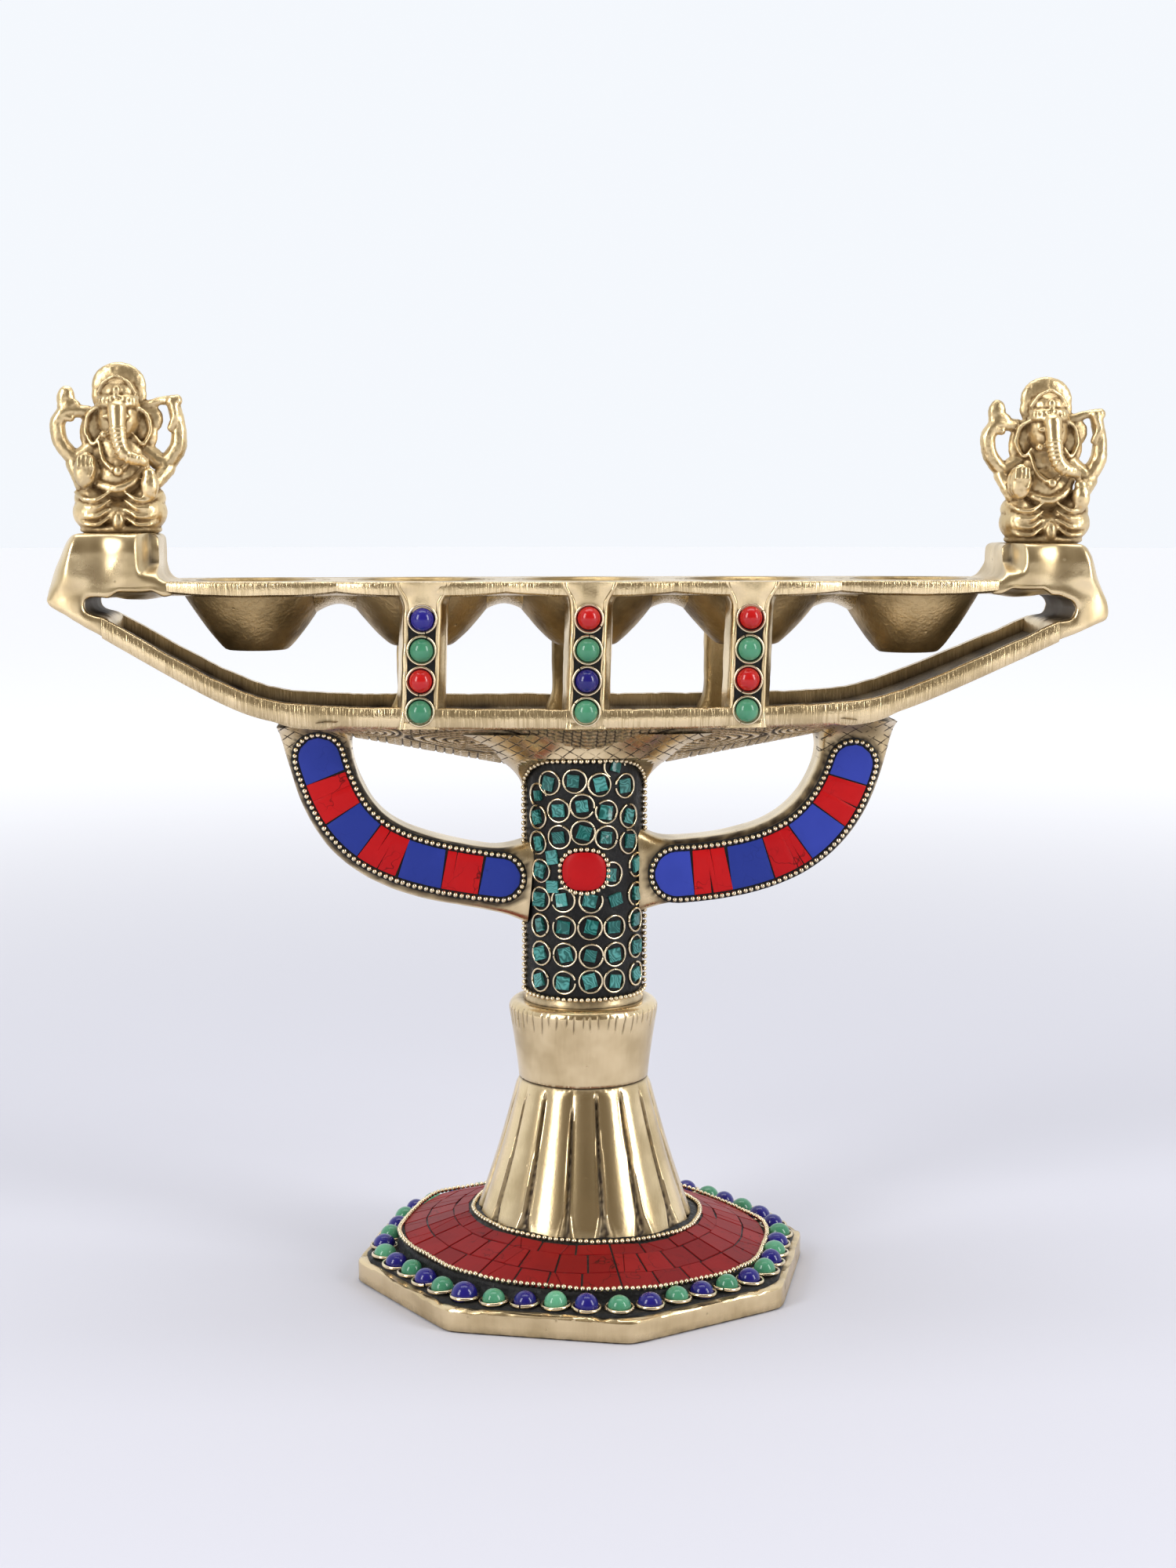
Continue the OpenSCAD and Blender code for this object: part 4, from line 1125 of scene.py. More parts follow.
class LAMP_OT_cone(bpy.types.Operator):
    """Models the fluted cone with its collar"""

    bl_idname = "lamp.cone"
    bl_label = "Fluted cone"

    def execute(self, context):
        count = 480
        angles = np.arange(count) * 2 * math.pi / count
        rnd = random.Random(4)
        seams = [math.radians(FRONT + 8 + 22.5 * k + rnd.uniform(-1.6, 1.6)) for k in range(16)]
        widths = [rnd.uniform(0.85, 1.25) for _ in seams]
        tops = [rnd.uniform(52.5, 56.5) for _ in seams]
        ticks = [math.radians(6.8 * k + rnd.uniform(-1.2, 1.2)) for k in range(53)]
        tick_low = [rnd.uniform(71.5, 74.5) for _ in ticks]
        lean = [rnd.uniform(-0.5, 1.4) for _ in ticks]
        heights = [
            *np.linspace(16.6, 20, 6), *np.linspace(21, 54, 40), 55, 55.8, 56.4, 56.9, 57.15, 57.4, 58.2
        ]
        heights += [*np.linspace(60, 76, 26), 76.8, 77.5, 78.2, 78.8, 79.2, 79.45, 79.5]
        rows, grooves = [], []
        for z in heights:
            if z < 57.0:
                share = (z - 16.6) / (57 - 16.6)
                r0 = 30.5 + (18.2 - 30.5) * share - 0.6 * math.sin(math.pi * share)
            elif z < 77.0:
                r0 = 18.45 + (21.2 - 18.45) * ((z - 57) / 20) ** 1.2
            else:
                r0 = 21.2 - 2.5 + 2.5 * math.sqrt(max(0, 1 - ((z - 77) / 2.5) ** 2))
            r = np.full(count, r0)
            groove = np.zeros(count)
            if z < 57.2:
                fade = 1 - smoothstep(54.5, 57.0, z)
                share = np.full(count, 9.9)
                for s, w, top in zip(seams, widths, tops):
                    d = (angles - s + math.pi) % (2 * math.pi) - math.pi
                    live = 1 - smoothstep(top - 4, top, z)
                    wide = w * (0.40 + 0.45 * (1 - smoothstep(17, 56, z)) + 1.1 * (1 - smoothstep(16, 24, z)))
                    near = np.abs(d) * r0 / wide
                    share = np.minimum(share, np.abs(d))
                    cut = np.exp(-(near**4))
                    lip = np.exp(-(((near - 1.35) / 0.35) ** 2))
                    r = r - live * (0.95 * cut - 0.16 * lip)
                    groove = np.maximum(groove, cut * live)
                r = r + fade * 0.5 * (1 - (1 - np.clip(share / math.radians(11.25), 0, 1)) ** 2)
            if 69 < z < 78.5:
                for s, low, k in zip(ticks, tick_low, lean):
                    d = (angles - s - math.radians(k) * (z - 74) / 3 + math.pi) % (2 * math.pi) - math.pi
                    live = smoothstep(low, low + 1.5, z) * (1 - smoothstep(77.4, 78.4, z))
                    cut = np.exp(-((np.abs(d) * r0 / 0.22) ** 2))
                    r = r - live * 0.3 * cut
                    groove = np.maximum(groove, 0.75 * cut * live)
            if 56.6 < z < 57.3:
                groove = np.maximum(groove, 0.95)
                r = r - 0.25
            row = ring_at(angles, r, z)
            rough = grain(row, 1.0, 3) * 0.35
            row[:, :2] *= (1 + groove * rough / r0)[:, None]
            rows.append(row)
            grooves.append(np.clip(groove * (0.9 + rough * 1.6), 0, 1) if z < 56.5 else groove)
        for r, z in ((16.2, 79.5), (16.2, 66), (4.3, 66), (4.3, 60), (13.8, 60), (14.4, 57), (25.6, 16.6)):
            rows.append(ring_at(angles, r, z))
            grooves.append(np.zeros(count))
        cone = lofted("fluted_cone_cast", rows, loop=True)
        mark(cone, "groove", kept_marks(cone, rows, grooves, 3, -1))
        smooth(cone, 50)
        finished(cone, "satin brass", "brass_cast", "fluted_foot")
        return {"FINISHED"}


def wrapped(obj, angle, z, lift):
    """Bends a flat piece round the column: its X goes round, its Y up and its Z outwards."""
    co = points_of(obj)
    a = np.radians(FRONT + angle) + co[:, 0] / COLUMN_R
    r = COLUMN_R + lift + co[:, 2]
    place(obj, np.stack([r * np.cos(a), r * np.sin(a), z + co[:, 1]], axis=1))
    return obj


PANEL_LOW = 81.3
PANEL_HALF = 76.0


def panel_top(angle):
    """The panel's upper edge arches down at its corners."""
    return 149.6 - 7.5 * (abs(angle) / PANEL_HALF) ** 4


class LAMP_OT_column(bpy.types.Operator):
    """Models the column with the fillet that meets the tray, and its lac panel"""

    bl_idname = "lamp.column"
    bl_label = "Column"

    def execute(self, context):
        count = 240
        angles = np.arange(count) * 2 * math.pi / count
        rows = []
        for z in [65.2, 70, 79, 79.6] + list(np.linspace(80.4, 138, 30)) + list(np.linspace(139, 157, 26)):
            row = []
            for a in angles:
                from_front = math.degrees((a - math.radians(FRONT) + math.pi) % (2 * math.pi) - math.pi)
                r = COLUMN_R if z > 79.3 else 16.1
                inside = abs(from_front) < PANEL_HALF and PANEL_LOW < z < panel_top(from_front)
                if inside:
                    r -= 0.9
                side = abs(math.cos(a))
                flare = max(0.0, (z - 137) / 14)
                if not inside:
                    r += 11.0 * side**2 * flare**2.6 + 1.8 * flare**2.2
                x, y = r * math.cos(a), r * math.sin(a)
                row.append((x, y, min(z, under_z(x, y) + 1.6)))
            rows.append(row)
        rows = np.array(rows)
        for row in rows[6:]:
            row[:, :2] *= (1 + grain(row, 5, 2) * 0.14 / COLUMN_R)[:, None]
        column = lofted("column_cast", rows)
        co = points_of(column)
        mark(column, "hatch", smoothstep(147.5, 149.5, co[:, 2]) * (co[:, 1] < 4))
        smooth(column, 40)
        finished(column, "satin brass", "brass_cast", "stem_column")

        rows = []
        for i in range(61):
            angle = -PANEL_HALF + 2 * PANEL_HALF * i / 60
            a = math.radians(FRONT + angle)
            low = PANEL_LOW + 1.5 * (abs(angle) / PANEL_HALF) ** 6
            row = []
            for j in range(49):
                z = low + (panel_top(angle) - low) * j / 48
                edge = min(j, 48 - j, i, 60 - i)
                r = COLUMN_R - (0.75 if edge == 0 else 0.05)
                row.append((r * math.cos(a), r * math.sin(a), z))
            rows.append(row)
        rows = np.array(rows)
        for row in rows[1:-1]:
            lump = grain(row, 2.2, 5) * 0.22
            lump[0] = lump[-1] = 0
            row[:, :2] *= (1 + lump / COLUMN_R)[:, None]
        panel = lofted("column_lac_panel", rows, ring=False)
        m = panel.modifiers.new("thickness", "SOLIDIFY")
        m.thickness = 0.6 * MM
        m.offset = -1
        apply_all(panel)
        smooth(panel, 60)
        finished(panel, "black lac", "lac_resin", "column_resin")
        return {"FINISHED"}


class LAMP_OT_column_inlay(bpy.types.Operator):
    """Sets the wire rings, split chips, red medallion and ball chains on the column"""

    bl_idname = "lamp.column_inlay"
    bl_label = "Column inlay"

    def places(self):
        """Angle and height of each cell, and how it is set: ring, open ring or bare chip."""
        cells = []
        for row in range(5):
            for col, angle in enumerate((-48, -22, 3, 27, 55)):
                kind = "ring"
                if row == 3 and col == 2:
                    kind = "low"
                if row == 3 and col == 3:
                    kind = "bare"
                if row == 4 and col in (1, 2, 3):
                    if col == 3:
                        cells.append((24, 117.6, "open"))
                    continue
                cells.append((angle, 87.1 + 7.7 * row + (0.9 if col == 4 else 0), kind))
        for row in range(2):
            for angle in (-51, -27, -4, 19, 44):
                cells.append((angle, 129.2 + 7.3 * row - 0.045 * abs(angle + 4) ** 1.12, "ring"))
        for angle, z in ((-37, 142.4), (-12, 143.7), (12, 142.4), (38, 141.5)):
            cells.append((angle, z, "ring"))
        cells += [(-52, 139.0, "half"), (27, 147.2, "half"), (-34, 121.9, "bare"), (-34, 113.8, "bare")]
        return cells

    def execute(self, context):
        sizes = context.scene.lamp_sizes
        rnd = random.Random(31)
        chips, rings = [], []
        for angle, z, kind in self.places():
            angle += rnd.uniform(-1, 1)
            z += rnd.uniform(-0.3, 0.3)
            if kind != "bare":
                gap = {"ring": rnd.choice((4, 6, 18)), "open": 120, "half": 120, "low": 130}[kind]
                ring = wire_ring_model("cell", rnd.uniform(6.9, 7.3), 0.62, gap, 26)
                turn = {"ring": rnd.uniform(0, 360), "open": 180, "half": -60, "low": 90}[kind]
                ring.data.transform(Matrix.Rotation(math.radians(turn), 4, "Z"))
                rings.append(wrapped(ring, angle, z, 0.25))
            chips.append(self.chip(angle, z, rnd, kind))
        joined("column_rings_set", rings)
        finished(bpy.context.object, "wire brass", "brass_wire", "column_rings")
        chip_set = joined("column_chips_set", chips)
        finished(chip_set, "green chip", "malachite", "column_chips")
        self.medallion(sizes)
        bead = sizes.bead_size / MM
        path = []
        for angle in np.linspace(-PANEL_HALF, PANEL_HALF, 60):
            path.append((angle, PANEL_LOW + 0.9 + 1.2 * (abs(angle) / PANEL_HALF) ** 6))
        path += [(PANEL_HALF - 0.5, z) for z in np.linspace(84, panel_top(PANEL_HALF) - 1, 30)]
        path += [(angle, panel_top(angle) - 0.6) for angle in np.linspace(PANEL_HALF, -PANEL_HALF, 60)]
        path += [(-PANEL_HALF + 0.5, z) for z in np.linspace(panel_top(PANEL_HALF) - 1, 84, 30)]
        line = []
        for angle, z in path:
            a = math.radians(FRONT + angle)
            r = COLUMN_R + 0.62
            line.append((r * math.cos(a), r * math.sin(a), z))
        bead_chain("column_chain_beads", [evenly(line, bead * CHAIN_STEP)], bead, "column_chain", 9)
        return {"FINISHED"}

    def chip(self, angle, z, rnd, kind):
        """One split chip: a block with a broken, tilted face."""
        alone()
        bpy.ops.mesh.primitive_cube_add(size=1)
        obj = named("chip")
        edit_all()
        bpy.ops.mesh.subdivide(number_cuts=2)
        bpy.ops.object.mode_set(mode="OBJECT")
        co = points_of(obj) * MM
        w, h = rnd.uniform(2.9, 3.6), rnd.uniform(3.2, 4.0)
        if kind == "half":
            w, h = 2.6, 2.8
        tilt_x, tilt_y = rnd.uniform(-0.22, 0.22), rnd.uniform(-0.18, 0.18)
        turn = rnd.uniform(-0.35, 0.35)
        x, y = co[:, 0] * w, co[:, 1] * h
        zz = co[:, 2] * 1.2 + np.where(co[:, 2] > 0, tilt_x * x + tilt_y * y, 0)
        zz += np.where(co[:, 2] > 0.4, grain(np.stack([x, y, zz], 1), 1.3, rnd.uniform(0, 50)) * 0.25, 0)
        c, s = math.cos(turn), math.sin(turn)
        place(obj, np.stack([x * c - y * s, x * s + y * c, zz], axis=1))
        wrapped(obj, angle + rnd.uniform(-1.5, 1.5), z + rnd.uniform(-0.2, 0.2), 0.15)
        mark(obj, "tone", [rnd.uniform(-0.35, 0.45)] * len(obj.data.vertices))
        return smooth(obj, 25)

    def medallion(self, sizes):
        """The oval red stone, low and a little uneven, with its ring of balls."""
        rows = []
        for share, lift in ((1.0, -0.4), (1.0, 0.75), (0.94, 1.05), (0.7, 1.2), (0.4, 1.25), (0.12, 1.25)):
            row = []
            for i in range(48):
                a = 2 * math.pi * i / 48
                rx = 5.9 * squared(a, 2.6)
                row.append((rx * share * math.cos(a), rx * share * math.sin(a) * 0.9, lift))
            rows.append(row)
        stone_piece = lofted("column_medallion_stone", rows)
        wrapped(stone_piece, MEDALLION_ANGLE, MEDALLION_Z, 0)
        smooth(stone_piece, 40)
        finished(stone_piece, "red tile", "coral_red", "column_medallion")
        bead = sizes.bead_size / MM
        ring = []
        for i in range(120):
            a = 2 * math.pi * i / 120
            rx = 6.7 * squared(a, 2.3)
            t = math.radians(FRONT + MEDALLION_ANGLE) + rx * math.cos(a) / COLUMN_R
            r = COLUMN_R + 0.55
            ring.append((r * math.cos(t), r * math.sin(t), MEDALLION_Z + rx * math.sin(a) * 0.92))
        bead_chain(
            "medallion_chain_beads", [evenly(ring, bead * MEDALLION_STEP)], bead, "medallion_chain", 12
        )


class LAMP_OT_arms(bpy.types.Operator):
    """Models the two curved arms and their inlay of tiles in a ball chain"""

    bl_idname = "lamp.arms"
    bl_label = "Arms"

    def execute(self, context):
        bead = context.scene.lamp_sizes.bead_size / MM
        for side, word in ((-1, "left"), (1, "right")):
            self.body(side, word)
            self.bed(side, word)
            self.tiles(side, word)
            path = on_arm(inlay_outline(side, bead / 2), 0.5)
            bead_chain(
                f"arm_chain_{word}_beads",
                [evenly(path, bead * CHAIN_STEP)],
                bead,
                f"arm_chain_{word}",
                20 + side,
            )
        return {"FINISHED"}

    def body(self, side, word):
        """The casting: a rounded bar that swells where it meets the column and the tray."""
        rows = []
        ts = np.concatenate(
            [np.linspace(0.0, 0.12, 10), np.linspace(0.14, 0.8, 40), np.linspace(0.815, 1.0, 22)]
        )
        mids, outs = arm_point(side, ts), arm_normal(side, ts)
        for t, mid, out in zip(ts, mids, outs):
            root = max(0.0, 1 - t / 0.11) ** 2.2
            head = max(0.0, (t - 0.8) / 0.2)
            outer = across(ARM_OUTER[side], t) + 2.5 * root + 0.6 * head**3
            inner = across(ARM_INNER[side], t) + 4.5 * root + 6.0 * head**3
            back = 9.0 + 12.0 * head**3
            section = []
            n = 64
            for i in range(n):
                a = 2 * math.pi * i / n
                k = squared(a, 4.6)
                u, v = math.cos(a) * k, math.sin(a) * k
                w = inner if u > 0 else outer
                x, z = mid + out * (u * w)
                front = float(arm_front_y(z)) if t > 0.5 else -9.0
                y = v * back if v > 0 else -v * front
                section.append((side * x, y, min(z, 160.6 + 0.4 * head)))
            rows.append(section)
        rows = np.array(rows)
        for row in rows:
            row += (grain(row, 6, 3 + side) * 0.12)[:, None]
        arm = lofted(f"arm_{word}_cast", rows if side > 0 else rows[:, ::-1])
        smooth(arm, 50)
        co = points_of(arm)
        line = inlay_outline(side, -0.3)
        near = np.sqrt(((co[:, None, ::2] - line[None]) ** 2).sum(2)).min(1)
        darkening = smoothstep(2.1, 0.2, near + grain(co, 2.2, 6) * 0.7) * (co[:, 1] < -5)
        mark(arm, "groove", np.maximum(darkening, hollows(arm, 4, 1.5)))
        mark(arm, "hatch", smoothstep(147, 151, co[:, 2]) * (co[:, 1] < 0))
        finished(arm, "satin brass", "brass_cast", f"arm_{word}")

    def bed(self, side, word):
        """The black lac under the tiles, a little proud of the brass."""
        rows = []
        for inset, lift in ((-0.25, -0.4), (-0.25, 0.02), (0.0, 0.2), (1.2, 0.2), (4.0, 0.15), (6.4, 0.15)):
            rows.append(on_arm(inlay_outline(side, inset), lift))
        rows = np.array(rows)
        for row in rows[1:4]:
            row[:, 1] += grain(row, 1.3, 7) * 0.16
        bed = lofted(f"arm_lac_{word}", rows)
        smooth(bed, 60)
        finished(bed, "black lac", "lac_resin", f"arm_resin_{word}")

    def tiles(self, side, word):
        """Seven tiles along the arm, blue and red by turns, with cracks."""
        rnd = random.Random(50 + side)
        t0, t1 = INLAY_T[side]
        ts = np.linspace(t0 - 0.12, t1 + 0.16, 400)
        run = np.concatenate([[0], np.cumsum(np.linalg.norm(np.diff(arm_point(side, ts), axis=0), axis=1))])
        low = np.interp(t0, ts, run) - across(ARM_INLAY[side], t0) + TILE_MARGIN
        high = np.interp(t1, ts, run) + across(ARM_INLAY[side], t1) - TILE_MARGIN
        joints = [
            float(np.interp(low + (high - low) * (k / 7 + rnd.uniform(-0.008, 0.008)), run, ts))
            for k in range(8)
        ]
        made = {"blue": [], "red": []}
        for i in range(7):
            colour = "blue" if i % 2 == 0 else "red"
            a = joints[i] + 0.0022 if i else t0 - 0.12
            b = joints[i + 1] - 0.0022 if i < 6 else t1 + 0.16
            cuts = [0.0, 1.0]
            if colour == "red":
                cuts = sorted({0.0, 1.0, *[rnd.uniform(0.25, 0.8) for _ in range(rnd.choice((1, 2)))]})
            tone = rnd.uniform(-0.45, 0.5) if colour == "blue" else rnd.uniform(-0.2, 0.25)
            for c0, c1 in zip(cuts, cuts[1:]):
                lean = rnd.uniform(-0.006, 0.006)
                piece = self.tile(side, t0, t1, a + (b - a) * c0, a + (b - a) * c1, lean, i in (0, 6))
                mark(piece, "tone", [tone] * len(piece.data.vertices))
                made[colour].append(piece)
        for colour, objs in made.items():
            obj = joined(f"arm_tiles_{colour}_{word}_set", objs)
            bevelled(obj, 0.16, 2, 40)
            smooth(obj, 30)
            slot = "cobalt_blue" if colour == "blue" else "coral_red"
            finished(obj, f"{colour} tile", slot, f"arm_tiles_{colour}_{word}")

    def tile(self, side, t0, t1, a, b, lean, end):
        """One tile: the stretch of the inlay between two places, with round ends on the first and last."""
        ts = np.linspace(a, b, 15 if end else 7)
        low, high = [], []
        for t in ts:
            tc = min(max(t, t0), t1)
            mid, out = arm_point(side, tc), arm_normal(side, tc)
            half = across(ARM_INLAY[side], tc) - TILE_MARGIN
            reach = 0.0
            if tc != t:
                d = np.linalg.norm(arm_point(side, t) - mid)
                along = arm_point(side, tc + 0.001) - arm_point(side, tc - 0.001)
                along = along / np.linalg.norm(along) * (1 if t > tc else -1)
                d = min(d, half * 0.985)
                mid = mid + along * d
                half = math.sqrt(max(half**2 - d**2, 0.05))
                reach = 1
            slip = lean if not reach else 0
            low.append(mid - out * half + (arm_point(side, tc + slip) - arm_point(side, tc)))
            high.append(mid + out * half - (arm_point(side, tc + slip) - arm_point(side, tc)))
        outline = np.array(low + high[::-1])
        outline[:, 0] *= side
        rows = [on_arm(outline, -0.1), on_arm(outline, 0.55)]
        centre = outline.mean(0)
        rows.append(on_arm(centre + (outline - centre) * 0.5, 0.57))
        return lofted("tile", rows)


def engraving(x, depth):
    """The chased pattern under the tray at a distance below its band: leaf scrolls between dashed fields."""
    s = abs(x)
    column = math.floor(s / 2.3)
    sway = noise.noise(Vector((s / 4, depth / 4, 1))) * 2
    dash = math.cos(2 * math.pi * (depth + column * 0.7 + s * 0.35) / 1.75 + sway)
    seam = math.cos(2 * math.pi * s / 2.3)
    hatch = max(0.0, dash) ** 0.7 * (seam < 0.86) + (seam > 0.93)
    cut = hatch
    for middle, reach in ((33.0, 16.0), (63.0, 11.5)):
        u = (s - middle) / reach
        v = (depth - 9.0 + (s - 33) * 0.11) / (7.6 if middle < 50 else 5.2) - 0.22 * u
        taper = 1.0 + 0.32 * u
        rho = math.hypot(u, v * taper)
        turn = math.atan2(v, u)
        if rho < 1.12:
            scroll = math.cos(2 * math.pi * rho * 5.2 + turn)
            cut = max(0.0, scroll) ** 0.8 if rho < 0.97 else math.exp(-(((rho - 1.03) / 0.05) ** 2))
    return min(1.0, cut)


class LAMP_OT_tray(bpy.types.Operator):
    """Models the boat-shaped drip tray with its filed band and chased underside"""

    bl_idname = "lamp.tray"
    bl_label = "Drip tray"

    def execute(self, context):
        xs = np.concatenate(
            [
                np.linspace(-TRAY_HALF_L, -92, 40)[:-1],
                np.linspace(-92, 92, 460),
                np.linspace(92, TRAY_HALF_L, 40)[1:],
            ]
        )
        rows, grooves = [], []
        for x in xs:
            w, z, k = tray_w(x), band_low(x), keel(x)
            top = z + BAND_H
            wave = noise.noise(Vector((x / 6.0, 3.3, 0.7))) * 0.22
            wave += max(0, noise.noise(Vector((x / 2.2, 9.1, 0.2)))) * 0.25
            dip = 0.0
            if 52 < abs(x) < 96:
                dip = 0.9 * float(smoothstep(0.5, 1.0, math.cos(2 * math.pi * (abs(x) - 76) / 60)))
            band = [
                (-(w - 2.6), top - 0.1 - wave), (-(w - 0.6), top + 0.05 - wave), (-w, top - 0.5 - wave),
                (-w - 0.25, z + 3.0),
            ]
            band += [(-w - 0.1, z + 0.6 - dip * 0.6), (-w + 0.35, z + 0.1 - dip), (-w + 1.0, z - 0.35 - dip)]
            under = []
            steps = 116
            for i in range(steps + 1):
                y = (w - 1.0) * (2 * i / steps - 1)
                under.append((y, under_z(x, y)))
            section = band + under[1:-1] + [(-y, q) for y, q in band[::-1]]
            inner_w = w - 3.2
            floor = z + 1.92
            deep = max(k - 1.92, 0.6)
            for i in range(25):
                y = inner_w * math.cos(math.pi * i / 24)
                section.append((y, floor - deep * (1 - (abs(y) / inner_w) ** 1.4) ** 0.95))
            # Darkens the tray's inside, under the deck, through the groove mask.
            dull = 0.86 + 0.2 * noise.noise(Vector((x / 5.0, 0.4, 8.0)))
            marks = [0.0] * (len(section) - 25) + [dull] * 25
            for i in range(len(under) - 2):
                y, q = under[i + 1]
                if abs(x) < 92:
                    depth = math.hypot(w - 1.0 - abs(y), z - q)
                    edge = float(smoothstep(0.2, 1.2, depth)) * float(smoothstep(92, 80, abs(x)))
                    cut = engraving(x, depth) * edge
                    j = len(band) + i
                    yy, qq = section[j]
                    section[j] = (yy, qq + 0.42 * cut)
                    marks[j] = min(1.0, 1.5 * cut)
            rows.append([(x, y, q) for y, q in section])
            grooves.append(marks)
        rows = np.array(rows)
        tray = lofted("drip_tray_cast", rows)
        mark(tray, "groove", kept_marks(tray, rows, grooves, 2, 0))
        smooth(tray, 50)
        finished(tray, "filed brass", "brass_cast", "drip_tray")
        return {"FINISHED"}


class LAMP_OT_struts(bpy.types.Operator):
    """Models the front and back struts, and sets four ringed stones in each front one"""

    bl_idname = "lamp.struts"
    bl_label = "Struts"

    COLOURS = (
        ("blue", "green", "red", "green"), ("red", "green", "blue", "green"), ("red", "green", "red", "green")
    )

    def execute(self, context):
        sizes = context.scene.lamp_sizes
        rnd = random.Random(71)
        stones = {"blue": [], "green": [], "red": []}
        tones = {"blue": [], "green": [], "red": []}
        rings = []
        for i, (x, word) in enumerate(zip(STRUT_X, ("left", "centre", "right"))):
            self.front(x, word, i)
            self.back(x - 1.9, word)
            for z, colour in zip(STONE_Z, self.COLOURS[i]):
                sx, y = self.line(x, z), self.face(x, z)
                lean = (rnd.uniform(-0.06, 0.06), -1, rnd.uniform(-0.03, 0.08))
                m = frame_matrix((sx, y - 0.15, z + rnd.uniform(-0.15, 0.15)), lean)
                stones[colour].append(m)
                tones[colour].append(rnd.uniform(-0.2, 0.3))
                rings.append(frame_matrix((sx, y - 0.35, z), lean, turn=rnd.uniform(0, 6)))
        slots = {"blue": "lapis_blue", "green": "jade_green", "red": "coral_red"}
        for colour in stones:
            model = dome_model(f"strut_stone_{colour}", sizes.stone_size * 1.03, STRUT_STONE_MIDDLE)
            obj = copies(f"strut_stones_{colour}_set", model, stones[colour], tones[colour])
            finished(obj, f"{colour} stone", slots[colour], f"strut_stones_{colour}")
        ring = wire_ring_model("strut_ring", STRUT_RING_D, sizes.wire_size / MM, 5)
        finished(copies("strut_rings_set", ring, rings), "wire brass", "brass_wire", "strut_rings")
        return {"FINISHED"}

    def line(self, x, z):
        """The struts lean a little, so their middle moves with height."""
        return x + (z - 176) * 0.035

    def face(self, x, z):
        """The channel's floor runs from the tray's band to the deck's rim."""
        low, high = -tray_w(x) + 0.2, -deck_w(x) + 0.4
        share = (z - BAND_Z) / (DECK_Z - BAND_Z)
        return low + (high - low) * share

    def front(self, x, word, i):
        """A flat bar with raised borders, spreading into the deck above and the band below."""
        rows = []
        zs = np.concatenate(
            [np.linspace(158.9, 165, 12), np.linspace(166, 188, 18), np.linspace(189, 198.3, 20)]
        )
        for z in zs:
            top = float(smoothstep(190.5, 198.3, z))
            low = float(smoothstep(166, 159, z))
            half = 5.2 + 2.6 * top**1.6 + 0.7 * low**2
            front = self.face(x, z) - 0.35 - 0.35 * top
            groove = 0.75 if 160.6 < z < 190.2 else 0.0
            mid = self.line(x, z)
            depth = 7.5
            edge = 0.9
            section = [
                (-half - 0.9, front + depth), (-half - 0.25, front + 2.6), (-half + 0.1, front + 1.0),
                (-half + edge * 0.6, front + 0.15),
                (-half + 1.15, front), (-half + 1.5, front + 0.25), (-half + 1.75, front + groove),
                (-1.5, front + groove + 0.05),
            ]
            section += [(-a, b) for a, b in section[::-1]]
            rows.append([(mid + a + (0.9 if a > 4 and b > front + 1.5 else 0), b, z) for a, b in section])
        rows = np.array(rows)
        for row in rows:
            row += (grain(row, 3.5, 5 + i) * 0.2)[:, None]
        rows[:, :, 2] = np.minimum(rows[:, :, 2], 198.45)
        strut = lofted(f"strut_front_{word}_cast", rows)
        smooth(strut, 55)
        finished(strut, "satin brass", "brass_cast", f"strut_front_{word}")
        rows = []
        shape = ((-3.75, 0.9), (-3.7, 0.45), (-2, 0.3), (0, 0.28), (2, 0.3), (3.7, 0.45), (3.75, 0.9))
        for z in np.linspace(161.0, 189.9, 30):
            mid, front = self.line(x, z), self.face(x, z) - 0.35
            rows.append([(mid + a, front + b, z) for a, b in shape])
        rows = np.array(rows)
        for row in rows:
            row[1:6, 1] += grain(row[1:6], 1.4, 4) * 0.22
        bed = lofted(f"strut_lac_{word}", rows)
        smooth(bed, 60)
        finished(bed, "black lac", "lac_resin", f"strut_resin_{word}")

    def back(self, x, word):
        """A plain back strut with soft roots."""
        rows = []
        y0 = tray_w(x) - 3.4
        for z in np.concatenate(
            [np.linspace(159.5, 167, 12), np.linspace(169, 187, 8), np.linspace(188, 195.5, 12)]
        ):
            spread = 2.4 * float(smoothstep(188, 195.5, z)) ** 1.5
            spread += 2.0 * float(smoothstep(167, 160, z)) ** 1.5
            a, b = 5.0 + spread, 3.6 + spread * 0.4
            section = []
            for k in range(24):
                t = 2 * math.pi * k / 24
                q = squared(t, 5)
                section.append((x + a * math.cos(t) * q, y0 - 3.6 + b * math.sin(t) * q, z))
            rows.append(section)
        rows = np.array(rows)
        for row in rows:
            row[:, :2] += (grain(row, 4, 2) * 0.25)[:, None]
        strut = lofted(f"strut_back_{word}_cast", rows)
        smooth(strut, 60)
        finished(strut, "cast brass", "brass_cast", f"strut_back_{word}")


